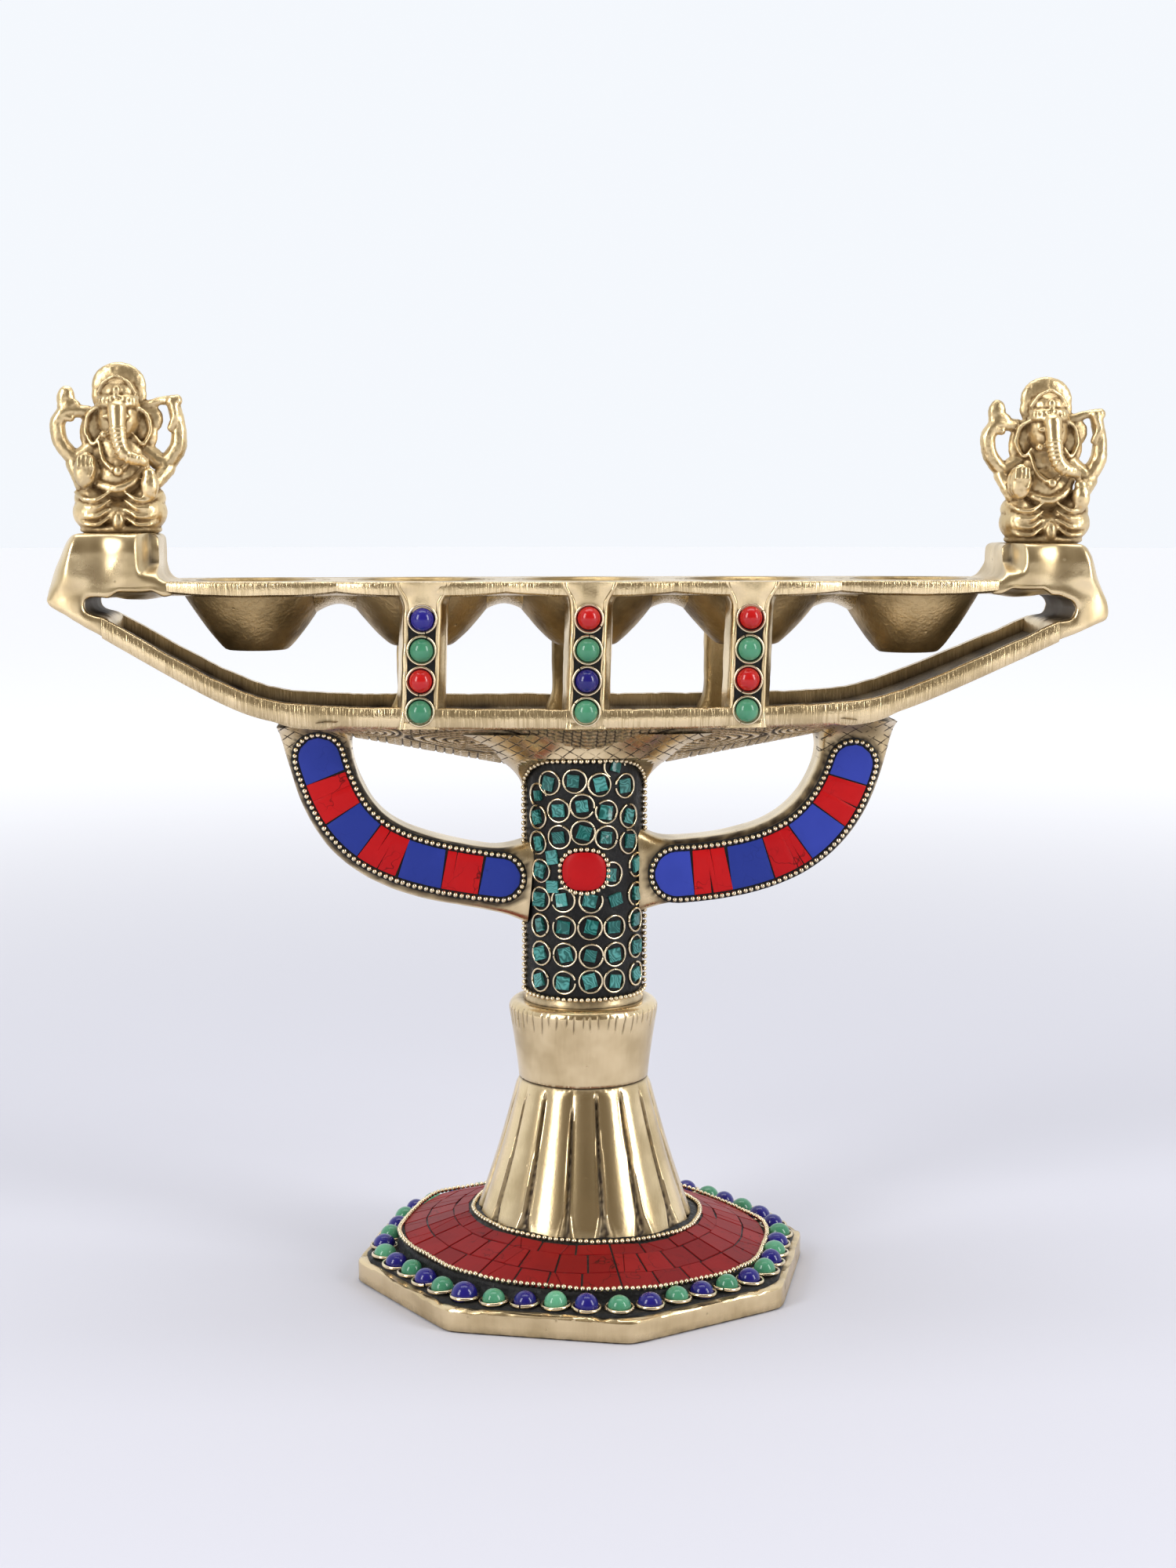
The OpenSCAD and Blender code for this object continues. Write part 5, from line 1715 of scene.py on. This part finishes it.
class LAMP_OT_deck(bpy.types.Operator):
    """Models the scalloped deck with its chased top, and the five cups that hang in it"""

    bl_idname = "lamp.deck"
    bl_label = "Deck and cups"

    def execute(self, context):
        half = 113.5
        rows, grooves = [], []
        for x in np.linspace(-half, half, 420):
            w = deck_w(x)
            file = noise.noise(Vector((x / 1.1, 1.7, 0))) * 0.05
            lift = noise.noise(Vector((x / 9.0, 5.0, 0))) * 0.15
            section, marks = [], []
            for i in range(57):
                share = -1 + 2 * i / 56
                y = share * (w - 0.45)
                depth = w - abs(y)
                rope = 0.0
                if 1.5 < depth < 4.8:
                    twist = x * (1 if y < 0 else -1) + depth * 1.1
                    rope = max(0.0, math.cos(2 * math.pi * twist / 2.3)) ** 1.5
                line = math.exp(-(((depth - 5.2) / 0.3) ** 2))
                centre = CUP_FIRST + round((x - CUP_FIRST) / CUP_PITCH) * CUP_PITCH
                from_cup = math.hypot(x - centre, y) - 19.0
                circle = math.exp(-((from_cup / 0.3) ** 2)) + math.exp(-(((from_cup - 1.2) / 0.25) ** 2))
                cut = min(1.0, rope + line + circle)
                section.append((y, DECK_Z - 0.12 + lift * 0.2 - 0.28 * cut))
                marks.append(cut * 0.7)
            lobe = abs(math.cos(math.pi * (x - CUP_FIRST) / CUP_PITCH)) ** 0.7
            low = DECK_Z - 3.1 - (DECK_T - 3.1) * lobe
            rim = [
                (w - 0.05, DECK_Z - 0.55), (w + 0.1 + file, DECK_Z - 1.2), (w + file, low + 1.2),
                (w - 0.15, low + 0.55 + lift), (w - 1.2, low + lift * 0.6),
            ]
            section += rim + [(w * 0.5, DECK_Z - DECK_T), (0, DECK_Z - DECK_T), (-w * 0.5, DECK_Z - DECK_T)]
            section += [(-y, z) for y, z in rim[::-1]]
            marks += [0.0] * (len(section) - len(marks))
            rows.append([(x, y, z) for y, z in section])
            grooves.append(marks)
        rows = np.array(rows)
        deck = lofted("deck_plate_cast", rows)
        webs = [self.web(CUP_FIRST + (i + 0.5) * CUP_PITCH) for i in range(4)]
        for i in range(5):
            k = END_CUP_SHARE if i in (0, 4) else 1.0
            alone()
            bpy.ops.mesh.primitive_cylinder_add(
                vertices=96, radius=CUP_HOLE_R * k * MM, depth=12 * MM,
                location=((CUP_FIRST + i * CUP_PITCH) * MM, 0, 0.1965)
            )
            cutter = named("cutter")
            bpy.ops.object.transform_apply(location=True, rotation=True, scale=True)
            m = deck.modifiers.new("hole", "BOOLEAN")
            m.operation = "DIFFERENCE"
            m.object = cutter
            apply_all(deck)
            bpy.data.objects.remove(cutter)
        mark(deck, "groove", kept_marks(deck, rows, grooves, 2, 0.02))
        deck = joined("deck_plate_cast", [deck, *webs])
        smooth(deck, 40)
        finished(deck, "filed brass", "brass_cast", "deck_plate")
        for i in range(5):
            self.cup(i)
        return {"FINISHED"}

    def web(self, x):
        """The saddle of metal that joins two neighbouring cups under the deck."""
        rows = []
        for y in np.linspace(-11, 11, 14):
            dip = 2.9 * (1 - (abs(y) / 11.5) ** 2)
            row = []
            for a in np.linspace(-1, 1, 13):
                row.append(
                    (
                        x + 5.2 * a * (1 + 0.25 * abs(a)),
                        y,
                        DECK_Z - DECK_T - dip * (0.95 + 0.9 * a * a) * 0.95,
                    )
                )
            row += [(x + 6.5, y, DECK_Z - DECK_T + 0.8), (x - 6.5, y, DECK_Z - DECK_T + 0.8)]
            rows.append(row)
        return lofted("web", np.array(rows))

    def cup(self, i):
        """One cup: a rough bowl outside, smoother inside, with a thin lip at the deck."""
        k = END_CUP_SHARE if i in (0, 4) else 1.0
        x = CUP_FIRST + i * CUP_PITCH
        low = DECK_Z - 18.4 - (1.1, 0, 0, 0, 2.4)[i]
        deck_low = DECK_Z - DECK_T
        rim = 21.2 * k
        hole = CUP_HOLE_R * k
        profile = [(2.5, low), (5.5, low), (8.0, low + 0.12)]
        for u in np.linspace(0.06, 1, 16):
            profile.append((8.0 + (rim - 8.0) * u, low + (deck_low - low) * u**1.25))
        profile += [
            (hole, deck_low + 0.3), (hole, DECK_Z - 0.6), (hole - 0.25, DECK_Z - 0.15), (hole - 0.9, DECK_Z),
            (hole - 1.6, DECK_Z - 0.4),
        ]
        inner_low = low + 2.6
        for u in np.linspace(1, 0.04, 16):
            profile.append((7.0 + (hole - 1.9 - 7.0) * u, inner_low + (DECK_Z - 1.2 - inner_low) * u**1.5))
        profile += [(4.5, inner_low), (1.8, inner_low)]
        count = 128
        a = np.arange(count) * 2 * math.pi / count
        rows = np.array([ring_at(a, r, z, x) for r, z in profile])
        for j, row in enumerate(rows):
            if 2 < j < 18:
                bump = grain(row, 2.4, i) * 0.10 + grain(row, 7, i + 3) * 0.2
                row[:, 2] -= bump
        cup = lofted(f"oil_cup_{i + 1}_cast", rows)
        smooth(cup, 50)
        finished(cup, "cast brass", "brass_cast", f"oil_cup_{i + 1}")


def block_profile(side):
    """The end block's side outline, from the deck's toe round the pedestal, the tip and the slot."""
    tip, top, slot = BLOCK_TIP[side], BLOCK_TOP[side], SLOT_MIDDLE[side]
    z_in = float(band_low(side * TRAY_HALF_L))
    line = [(112.0, 194.6), (112.0, 198.3), (114.6, 198.6), (116.2, 200.2), (116.2, top - 1.0), (117.2, top)]
    line += [(138.0, top), (140.2, top - 0.7), (141.8, top - 3.0), (144.9, tip + 8.8), (146.6, tip + 3.2)]
    low = float(band_low(side * 129.0))
    line += [(147.0, tip + 0.7), (146.2, tip - 0.8), (131.0, z_in), (129.0, low), (129.0, low + BAND_H)]
    line += [(131.0, z_in + BAND_H), (135.0, 187.6 if side > 0 else 190.2), (135.9, slot)]
    line += [(135.0, 192.6 if side > 0 else 194.4), (131.0, 194.2), (126.0, 193.3), (120.0, 193.2)]
    return line


class LAMP_OT_blocks(bpy.types.Operator):
    """Models the end blocks that join tray and deck and carry the figures"""

    bl_idname = "lamp.blocks"
    bl_label = "End blocks"

    def execute(self, context):
        for side, word in ((-1, "left"), (1, "right")):
            line = block_profile(side)
            top = BLOCK_TOP[side]
            alone()
            bpy.ops.mesh.primitive_circle_add(vertices=len(line), radius=1, fill_type="NGON")
            block = named(f"end_block_{word}_cast")
            place(block, [(side * s, -BLOCK_HALF_W, z) for s, z in line])
            edit_all()
            bpy.ops.mesh.extrude_region_move(TRANSFORM_OT_translate={"value": (0, 2 * BLOCK_HALF_W * MM, 0)})
            remeshed(outward(block), 0.7, 12)
            co = points_of(block)
            s, y, z = co[:, 0] * side, co[:, 1], co[:, 2]
            share = np.clip(np.abs(y) / BLOCK_HALF_W, 0, 1)
            above = smoothstep(194, 200, z)
            s = s - 3.4 * share**3 * smoothstep(134, 146, s) * (1 - 0.6 * smoothstep(200, 192, z))
            lobes = 0.9 * np.exp(-(((s - 138.5) / 5.5) ** 2)) + 0.9 * np.exp(-(((s - 124.0) / 5.5) ** 2))
            lobes = lobes - 0.8 * np.exp(-(((s - 131.4) / 4.0) ** 2)) * smoothstep(194, 206, z)
            back = -6.5 * smoothstep(121.6, 118.6, s) * smoothstep(199.5, 203.5, z)
            lip = -1.5 * smoothstep(top - 6.5, top, z) ** 2
            ends = -2.0 * smoothstep(137, 146.5, s) ** 2
            ends = ends + smoothstep(142, 131, s) * smoothstep(197, 192, z)
            toe = 0.8 * smoothstep(122, 113, s) * smoothstep(200, 198, z)
            y = y + np.sign(y) * share**3 * (lobes * above + back + lip + ends + toe)
            belly = smoothstep(0.2, 1.0, share) * 2.2 * smoothstep(198, 193.5, z) * smoothstep(130, 126, s)
            z = z + belly * smoothstep(114, 118, s)
            co = np.stack([s * side, y, z], axis=1)
            co += (grain(co, 9, 4) * 0.22)[:, None] + (grain(co, 3.2, 6) * 0.07)[:, None]
            co[:, 2] = np.minimum(co[:, 2], top)
            co[:, 1] = np.clip(co[:, 1], -17.5, 17.5)
            place(block, co)
            mark(block, "groove", np.maximum(hollows(block, 10, 0.8), self.slot(co, side)))
            smooth(block, 70)
            finished(block, "polished brass", "brass_cast", f"end_block_{word}")
        return {"FINISHED"}

    def slot(self, co, side):
        """Darkens the brass round the slot between deck and tray, with a ragged edge."""
        s, z = co[:, 0] * side, co[:, 2]
        near = np.hypot(s - 133.5, (z - SLOT_MIDDLE[side]) * 1.1)
        return smoothstep(6.0, 3.0, near + grain(co, 2.0, 3)) * (np.abs(co[:, 1]) < 15.5)


class LAMP_OT_figures(bpy.types.Operator):
    """Models the two seated elephant-headed figures"""

    bl_idname = "lamp.figures"
    bl_label = "Figures"

    def ball(self, at, size, turn=0.0):
        """A round mass at a place with its three sizes."""
        alone()
        bpy.ops.mesh.primitive_uv_sphere_add(segments=24, ring_count=14, radius=0.5)
        obj = named("mass")
        co = points_of(obj) * MM * np.array(size)
        c, s = math.cos(turn), math.sin(turn)
        co = np.stack([co[:, 0] * c + co[:, 2] * s, co[:, 1], -co[:, 0] * s + co[:, 2] * c], axis=1)
        place(obj, co + np.array(at))
        self.parts.append(obj)

    def hoop(self, p, along, r, angles):
        """Points round a place, square to a direction."""
        m = frame_matrix(p, along, (0, 1, 0.1))
        return [tuple((m @ Vector((r * math.cos(a) * MM, r * math.sin(a) * MM, 0))) / MM) for a in angles]

    def rod(self, line, sizes, sides=12):
        """A limb, fold or band that follows a line, with a thickness at each point."""
        line, sizes = np.array(line, float), np.array(sizes, float)
        run = np.linspace(0, 1, len(line))
        at = np.linspace(0, 1, max(6, 5 * len(line)))
        path = np.stack([np.interp(at, run, line[:, i]) for i in range(3)], axis=1)
        for _ in range(3):
            path[1:-1] = (path[:-2] + 2 * path[1:-1] + path[2:]) / 4
        thick = np.interp(at, run, sizes)
        rows = []
        for i, p in enumerate(path):
            d = path[min(i + 1, len(path) - 1)] - path[max(i - 1, 0)]
            rows.append(self.hoop(p, d, thick[i] / 2, np.linspace(0, 2 * math.pi, sides, endpoint=False)))
        self.parts.append(lofted("limb", rows))
        self.ball(path[0], (thick[0],) * 3)
        self.ball(path[-1], (thick[-1],) * 3)

    def execute(self, context):
        for side, word, x, z in ((-1, "left", -127.4, 211.0), (1, "right", 130.4, 208.0)):
            self.parts = []
            self.body()
            self.head()
            self.arms(side)
            figure = joined(f"figure_{word}_cast", self.parts)
            remeshed(figure, 0.34, 1)
            self.chase(figure, side)
            co = points_of(figure)
            place(figure, co * np.array((1.05, 1.0, 1.05)) + np.array((x, 0, z)))
            smooth(figure, 80)
            finished(figure, "figure brass", "brass_figure", f"figure_{word}")
        return {"FINISHED"}

    def body(self):
        """Seat, folded legs under their cloth, belly and chest."""
        self.ball((0, 0.3, 1.2), (21.5, 15.5, 4.4))
        for k in (-1, 1):
            self.ball((6.2 * k, -0.8, 6.0), (12.2, 14, 10.6), 0.25 * k)
            self.ball((7.4 * k, -0.4, 9.6), (9.0, 11, 7.0), 0.2 * k)
            for step in range(4):
                lift = 10.0 - 2.15 * step
                self.rod(
                    [
                        (11.2 * k, -2.6, lift + 0.9), (8.6 * k, -6.8, lift - 1.0),
                        (5.0 * k, -7.7, lift - 1.2), (2.0 * k, -6.8, lift + 0.9),
                    ],
                    (0.8, 1.35, 1.3, 0.7),
                    8,
                )
        self.ball((0, -0.4, 5.0), (14, 14, 8))
        self.ball((0.2, -7.0, 3.4), (3.2, 3.2, 5.2))
        self.ball((0, 0, 15.0), (15.5, 12.5, 13.0))
        self.ball((0, 0.8, 21.5), (14.6, 9.5, 11))
        self.rod(
            [(-7.2, -1.5, 15.2), (-4.6, -5.6, 12.6), (0, -7.0, 11.4), (4.2, -6.2, 13.4), (7.0, -3.2, 17.2)],
            (1.6, 2.0, 2.2, 2.0, 1.5), 10,
        )
        self.rod(
            [(-4.8, -3.2, 24), (-3.6, -5.4, 18.6), (0.4, -6.6, 15.8), (4.0, -5.4, 19.4)],
            (1.1, 1.3, 1.3, 1.0), 8,
        )
        self.ball((0.4, -6.9, 16.2), (2.6, 1.8, 2.6))

    def head(self):
        """Broad head with a ribbed trunk, ears, tusk, banded crown and arched halo."""
        self.ball((0.2, -1.6, 30.0), (10.6, 9.6, 12.4))
        self.ball((0.2, -1.0, 36.0), (10.2, 8.6, 8.4))
        self.ball((0.2, 0.9, 38.4), (14.2, 4.4, 12.2))
        self.ball((0.2, 0.9, 36.0), (14.4, 4.2, 12.0))
        self.ball((0.2, 1.2, 30), (14.0, 4.6, 12))
        for k in (-1, 1):
            self.ball((6.7 * k, 0.0, 27.6), (6.4, 3.4, 11.5), -0.25 * k)
            self.rod(
                [
                    (4.2 * k, -3.4, 33.2), (7.6 * k, -1.9, 31.2), (8.6 * k, -1.5, 26.8),
                    (6.4 * k, -2.6, 22.6), (4.4 * k, -3.4, 25.4),
                ],
                (1.1, 1.3, 1.2, 1.1, 0.9), 8,
            )
            self.ball((2.6 * k, -6.1, 30.2), (2.0, 1.3, 1.2))
        for z, w in ((33.3, 5.4), (35.1, 5.0)):
            self.rod(
                [
                    (0.2 + w * math.sin(a), -0.8 - (w + 0.1) * math.cos(a), z)
                    for a in np.linspace(-1.35, 1.35, 9)
                ],
                [1.25] * 9, 8,
            )
        for a in np.linspace(-1.2, 1.2, 11):
            self.ball((0.2 + 5.5 * math.sin(a), -0.8 - 5.55 * math.cos(a), 34.2), (0.75, 0.9, 2.3))
        self.ball((0.2, -5.4, 37.0), (2.2, 1.8, 2.6))
        for k in (-1, 1):
            self.rod(
                [(0.4 * k, -4.8, 40.6), (3.2 * k, -3.9, 39.2), (4.9 * k, -3.1, 36.4)], (1.0, 1.0, 0.9), 8
            )
        trunk = [
            (0.4, -6.1, 32.0), (0.5, -7.0, 28.4), (0.7, -7.4, 25.0), (1.4, -7.9, 21.6), (3.2, -8.0, 19.7),
            (5.6, -7.4, 19.2), (7.2, -6.2, 18.6), (7.9, -5.4, 16.8),
        ]
        self.rod(trunk, (5.0, 4.4, 3.9, 3.4, 3.0, 2.6, 2.1, 1.6))
        path = np.array(trunk)
        run = np.linspace(0, 1, len(path))
        for s in np.linspace(0.2, 0.86, 15):
            p = np.array([np.interp(s, run, path[:, i]) for i in range(3)])
            d = np.array(
                [
                    np.interp(min(s + 0.03, 1), run, path[:, i]) - np.interp(s - 0.03, run, path[:, i])
                    for i in range(3)
                ]
            )
            w = np.interp(s, run, (5.0, 4.4, 3.9, 3.4, 3.0, 2.6, 2.1, 1.6)) / 2 + 0.12
            self.rod(self.hoop(p, d, w, np.linspace(0, 2 * math.pi, 11)), [0.62] * 11, 6)
        self.ball((-3.0, -6.2, 25.6), (2.4, 2.4, 2.0))

    def arms(self, side):
        """Raised hands with their emblems, the open hand and the one that holds a sweet."""
        reach = 1.0 if side < 0 else 0.96
        self.rod(
            [
                (-6.2, 0.4, 23.2), (-11.4, 0.2, 19.0), (-15.2, 0, 23.6), (-15.9, -0.2, 28.6),
                (-13.8, -0.6, 32.0), (-8.0, 0.4, 31.6),
            ],
            (4.4, 4.4, 4.2, 4.2, 3.6, 3.4),
        )
        self.rod([(-16.6, -0.4, 29.4), (-14.2, -1.0, 30.4), (-12.2, -1.0, 30.0)], (2.0, 2.6, 2.2))
        self.ball((-13.4, -0.2, 35.0), (4.8, 3.4, 6.8), 0.1)
        self.ball((-12.6, -0.4, 33.2), (6.2, 3.2, 4.0))
        self.rod(
            [
                (6.0, 0.4, 22.6), (11.6, 0.4, 17.4), (15.4 * reach, 0.2, 22.4), (15.6 * reach, 0, 28.0),
                (14.4 * reach, -0.2, 33.0),
            ],
            (4.6, 5.0, 4.6, 3.8, 3.6),
        )
        self.rod([(15.2 * reach, -0.6, 34.6), (11.2, 0.0, 34.6), (6.2, 0.6, 33.0)], (3.0, 2.2, 2.6))
        self.rod(
            [(14.0 * reach, -0.6, 34.2), (15.0 * reach, -1.2, 30.6), (13.6 * reach, -1.0, 27.4)],
            (3.6, 2.6, 2.0),
        )
        self.ball((8.2, 0.4, 29.6), (6.6, 3.0, 7.4), 0.35)
        self.rod([(-11.8, 0, 18.2), (-9.6, -2.6, 12.8)], (4.2, 3.6))
        self.ball((-8.0, -6.6, 16.6), (5.8, 3.6, 9.4), 0.06)
        self.ball((-8.0, -4.6, 16.4), (6.6, 4.6, 9.0), 0.06)
        for k in range(4):
            self.rod(
                [(-9.7 + 1.15 * k, -8.1, 17.4), (-9.5 + 1.1 * k, -7.7, 20.4 - 0.3 * abs(k - 1.5))],
                (1.0, 0.9), 8,
            )
        self.rod([(-6.6, -8.0, 15.0), (-5.6, -7.6, 17.4)], (1.1, 0.9), 8)
        self.rod([(12.2, 0, 17.0), (9.6, -3.0, 13.4), (8.2, -4.6, 12.6)], (4.6, 4.0, 3.6))
        self.ball((8.4, -6.6, 12.6), (4.8, 4.2, 7.4))
        for k in range(4):
            self.rod([(6.8 + 0.95 * k, -7.6, 13.2), (6.9 + 0.9 * k, -7.3, 9.8)], (0.9, 0.85), 8)
        self.ball((8.2, -6.4, 15.8), (3.4, 2.8, 2.6))

    def chase(self, figure, side):
        """Chisel marks and a rough ground on the halo, ears and cloth, with grime in the cuts."""
        co = points_of(figure)
        fine = grain(co, 0.75, 3 + side) * 0.4 + grain(co, 1.4, 8 + side) * 0.6
        x, y, z = co[:, 0], co[:, 1], co[:, 2]
        smooth_face = np.exp(-(((x - 0.6) / 2.6) ** 2)) * smoothstep(19, 22, z)
        smooth_face = smooth_face * smoothstep(34, 32, z) * smoothstep(-4, -6, y)
        knees = smoothstep(12.5, 11, z) * smoothstep(3, 5, np.abs(x))
        amount = 0.17 * (1 - 0.85 * smooth_face) * (1 - 0.45 * knees)
        push = fine * amount
        normals = np.empty(len(co) * 3)
        figure.data.vertices.foreach_get("normal", normals)
        normals = normals.reshape(-1, 3)
        place(figure, co + normals * push[:, None])
        cuts = np.clip(-fine * 1.2 - 0.25, 0, 0.6) * (1 - smooth_face)
        mark(figure, "groove", np.maximum(cuts, hollows(figure, 8, 7.5)))


class LAMP_OT_stage(bpy.types.Operator):
    """Sets the floor, the softboxes and the camera"""

    bl_idname = "lamp.stage"
    bl_label = "Stage"

    def execute(self, context):
        stage = context.scene.lamp_stage
        alone()
        bpy.ops.mesh.primitive_circle_add(vertices=64, radius=12, fill_type="NGON")
        floor = named("floor")
        m, t, shader, where = start_material("pale floor with painted falloff")
        # Painted light: the floor is darker near the lamp and lighter further out, a painted falloff of the
        # light.
        away = add(t, "ShaderNodeVectorMath", {0: where}, operation="LENGTH")
        painted_falloff = add(
            t,
            "ShaderNodeMapRange",
            {"Value": away.outputs["Value"], "From Min": 0.2, "From Max": 1.6},
            interpolation_type="SMOOTHSTEP",
        )
        colour = tuple(stage.floor)
        t.links.new(mix_colour(t, painted_falloff.outputs[0], colour, (0.72, 0.72, 0.74)), shader.inputs["Base Color"])
        # Painted glow: further out the floor emits light, though it is no lamp.
        t.links.new(
            mix_colour(t, painted_falloff.outputs[0], (0, 0, 0), (0.47, 0.48, 0.50)), shader.inputs["Emission Color"]
        )
        shader.inputs["Emission Strength"].default_value = 1.0
        shader.inputs["Specular IOR Level"].default_value = 0.2
        shader.inputs["Roughness"].default_value = 0.8
        floor.data.materials.append(m)

        context.scene.view_settings.view_transform = "Standard"
        world = bpy.data.worlds.new("studio")
        context.scene.world = world
        world.use_nodes = True
        tree = world.node_tree
        tree.nodes.clear()
        out = tree.nodes.new("ShaderNodeOutputWorld")
        back = tree.nodes.new("ShaderNodeBackground")
        tree.links.new(back.outputs[0], out.inputs["Surface"])
        where = tree.nodes.new("ShaderNodeTexCoord")
        split = add(tree, "ShaderNodeSeparateXYZ", {"Vector": where.outputs["Generated"]})
        depth = add(
            tree,
            "ShaderNodeMapRange",
            {"Value": split.outputs["Y"], "From Min": -0.75, "From Max": 0.45},
            interpolation_type="SMOOTHSTEP",
        )
        path = tree.nodes.new("ShaderNodeLightPath")
        seen = maths(tree, "MAXIMUM", depth.outputs[0], path.outputs["Is Camera Ray"])
        tree.links.new(mix_colour(tree, seen, (0.19, 0.16, 0.12), (0.91, 0.94, 0.985)), back.inputs["Color"])
        back.inputs["Strength"].default_value = 1.0

        for name, place_, aim, size, power in (
            ("left softbox", (-0.9, -0.75, 0.65), (0, 0, 0.12), (0.34, 0.95), 9.0),
            ("right softbox", (0.95, -0.6, 0.6), (0, 0, 0.12), (0.30, 0.95), 8.0),
            ("top softbox", (0.0, 0.1, 1.5), (0, 0, 0.1), (1.2, 0.8), 8.5),
        ):
            data = bpy.data.lights.new(name, "AREA")
            data.shape = "RECTANGLE"
            data.size, data.size_y = size
            data.energy = power * stage.light
            lamp = bpy.data.objects.new(name, data)
            context.collection.objects.link(lamp)
            lamp.location = place_
            lamp.rotation_euler = (Vector(aim) - Vector(place_)).to_track_quat("-Z", "Y").to_euler()

        data = bpy.data.cameras.new("camera")
        data.lens = stage.lens
        data.sensor_width = 36.0
        data.clip_start = 0.01
        camera = bpy.data.objects.new("camera", data)
        context.collection.objects.link(camera)
        camera.location = (-0.0440, -0.6484, 0.2186)
        camera.rotation_euler = (math.radians(83.16), 0, math.radians(-4.0))
        context.scene.camera = camera
        return {"FINISHED"}


class LAMP_PT_panel(bpy.types.Panel):
    """Lists the pieces of the lamp"""

    bl_idname = "LAMP_PT_panel"
    bl_label = "Standing oil lamp"
    bl_space_type = "VIEW_3D"
    bl_region_type = "UI"
    bl_category = "Oil lamp"

    def draw(self, context):
        layout = self.layout
        for group in (context.scene.lamp_sizes, context.scene.lamp_colours, context.scene.lamp_stage):
            box = layout.box()
            for name in group.bl_rna.properties.keys():
                if name not in {"rna_type", "name"}:
                    box.prop(group, name)
        for operator in PIECES:
            layout.operator(operator.bl_idname)


PIECES = (
    LAMP_OT_finishes,
    LAMP_OT_foot,
    LAMP_OT_foot_inlay,
    LAMP_OT_cone,
    LAMP_OT_column,
    LAMP_OT_column_inlay,
    LAMP_OT_arms,
    LAMP_OT_tray,
    LAMP_OT_struts,
    LAMP_OT_deck,
    LAMP_OT_blocks,
    LAMP_OT_figures,
    LAMP_OT_stage,
)
CLASSES = (LampSizes, LampColours, StageSettings, *PIECES, LAMP_PT_panel)


def register():
    """Registers the classes and hangs the settings on the scene."""
    for cls in CLASSES:
        bpy.utils.register_class(cls)
    bpy.types.Scene.lamp_sizes = PointerProperty(type=LampSizes)
    bpy.types.Scene.lamp_colours = PointerProperty(type=LampColours)
    bpy.types.Scene.lamp_stage = PointerProperty(type=StageSettings)


def unregister():
    """Takes the settings and the classes away again."""
    del bpy.types.Scene.lamp_sizes
    del bpy.types.Scene.lamp_colours
    del bpy.types.Scene.lamp_stage
    for cls in reversed(CLASSES):
        bpy.utils.unregister_class(cls)


def main():
    """Builds the whole lamp."""
    register()
    for operator in PIECES:
        group, name = operator.bl_idname.split(".")
        getattr(getattr(bpy.ops, group), name)()


if __name__ == "__main__":
    main()
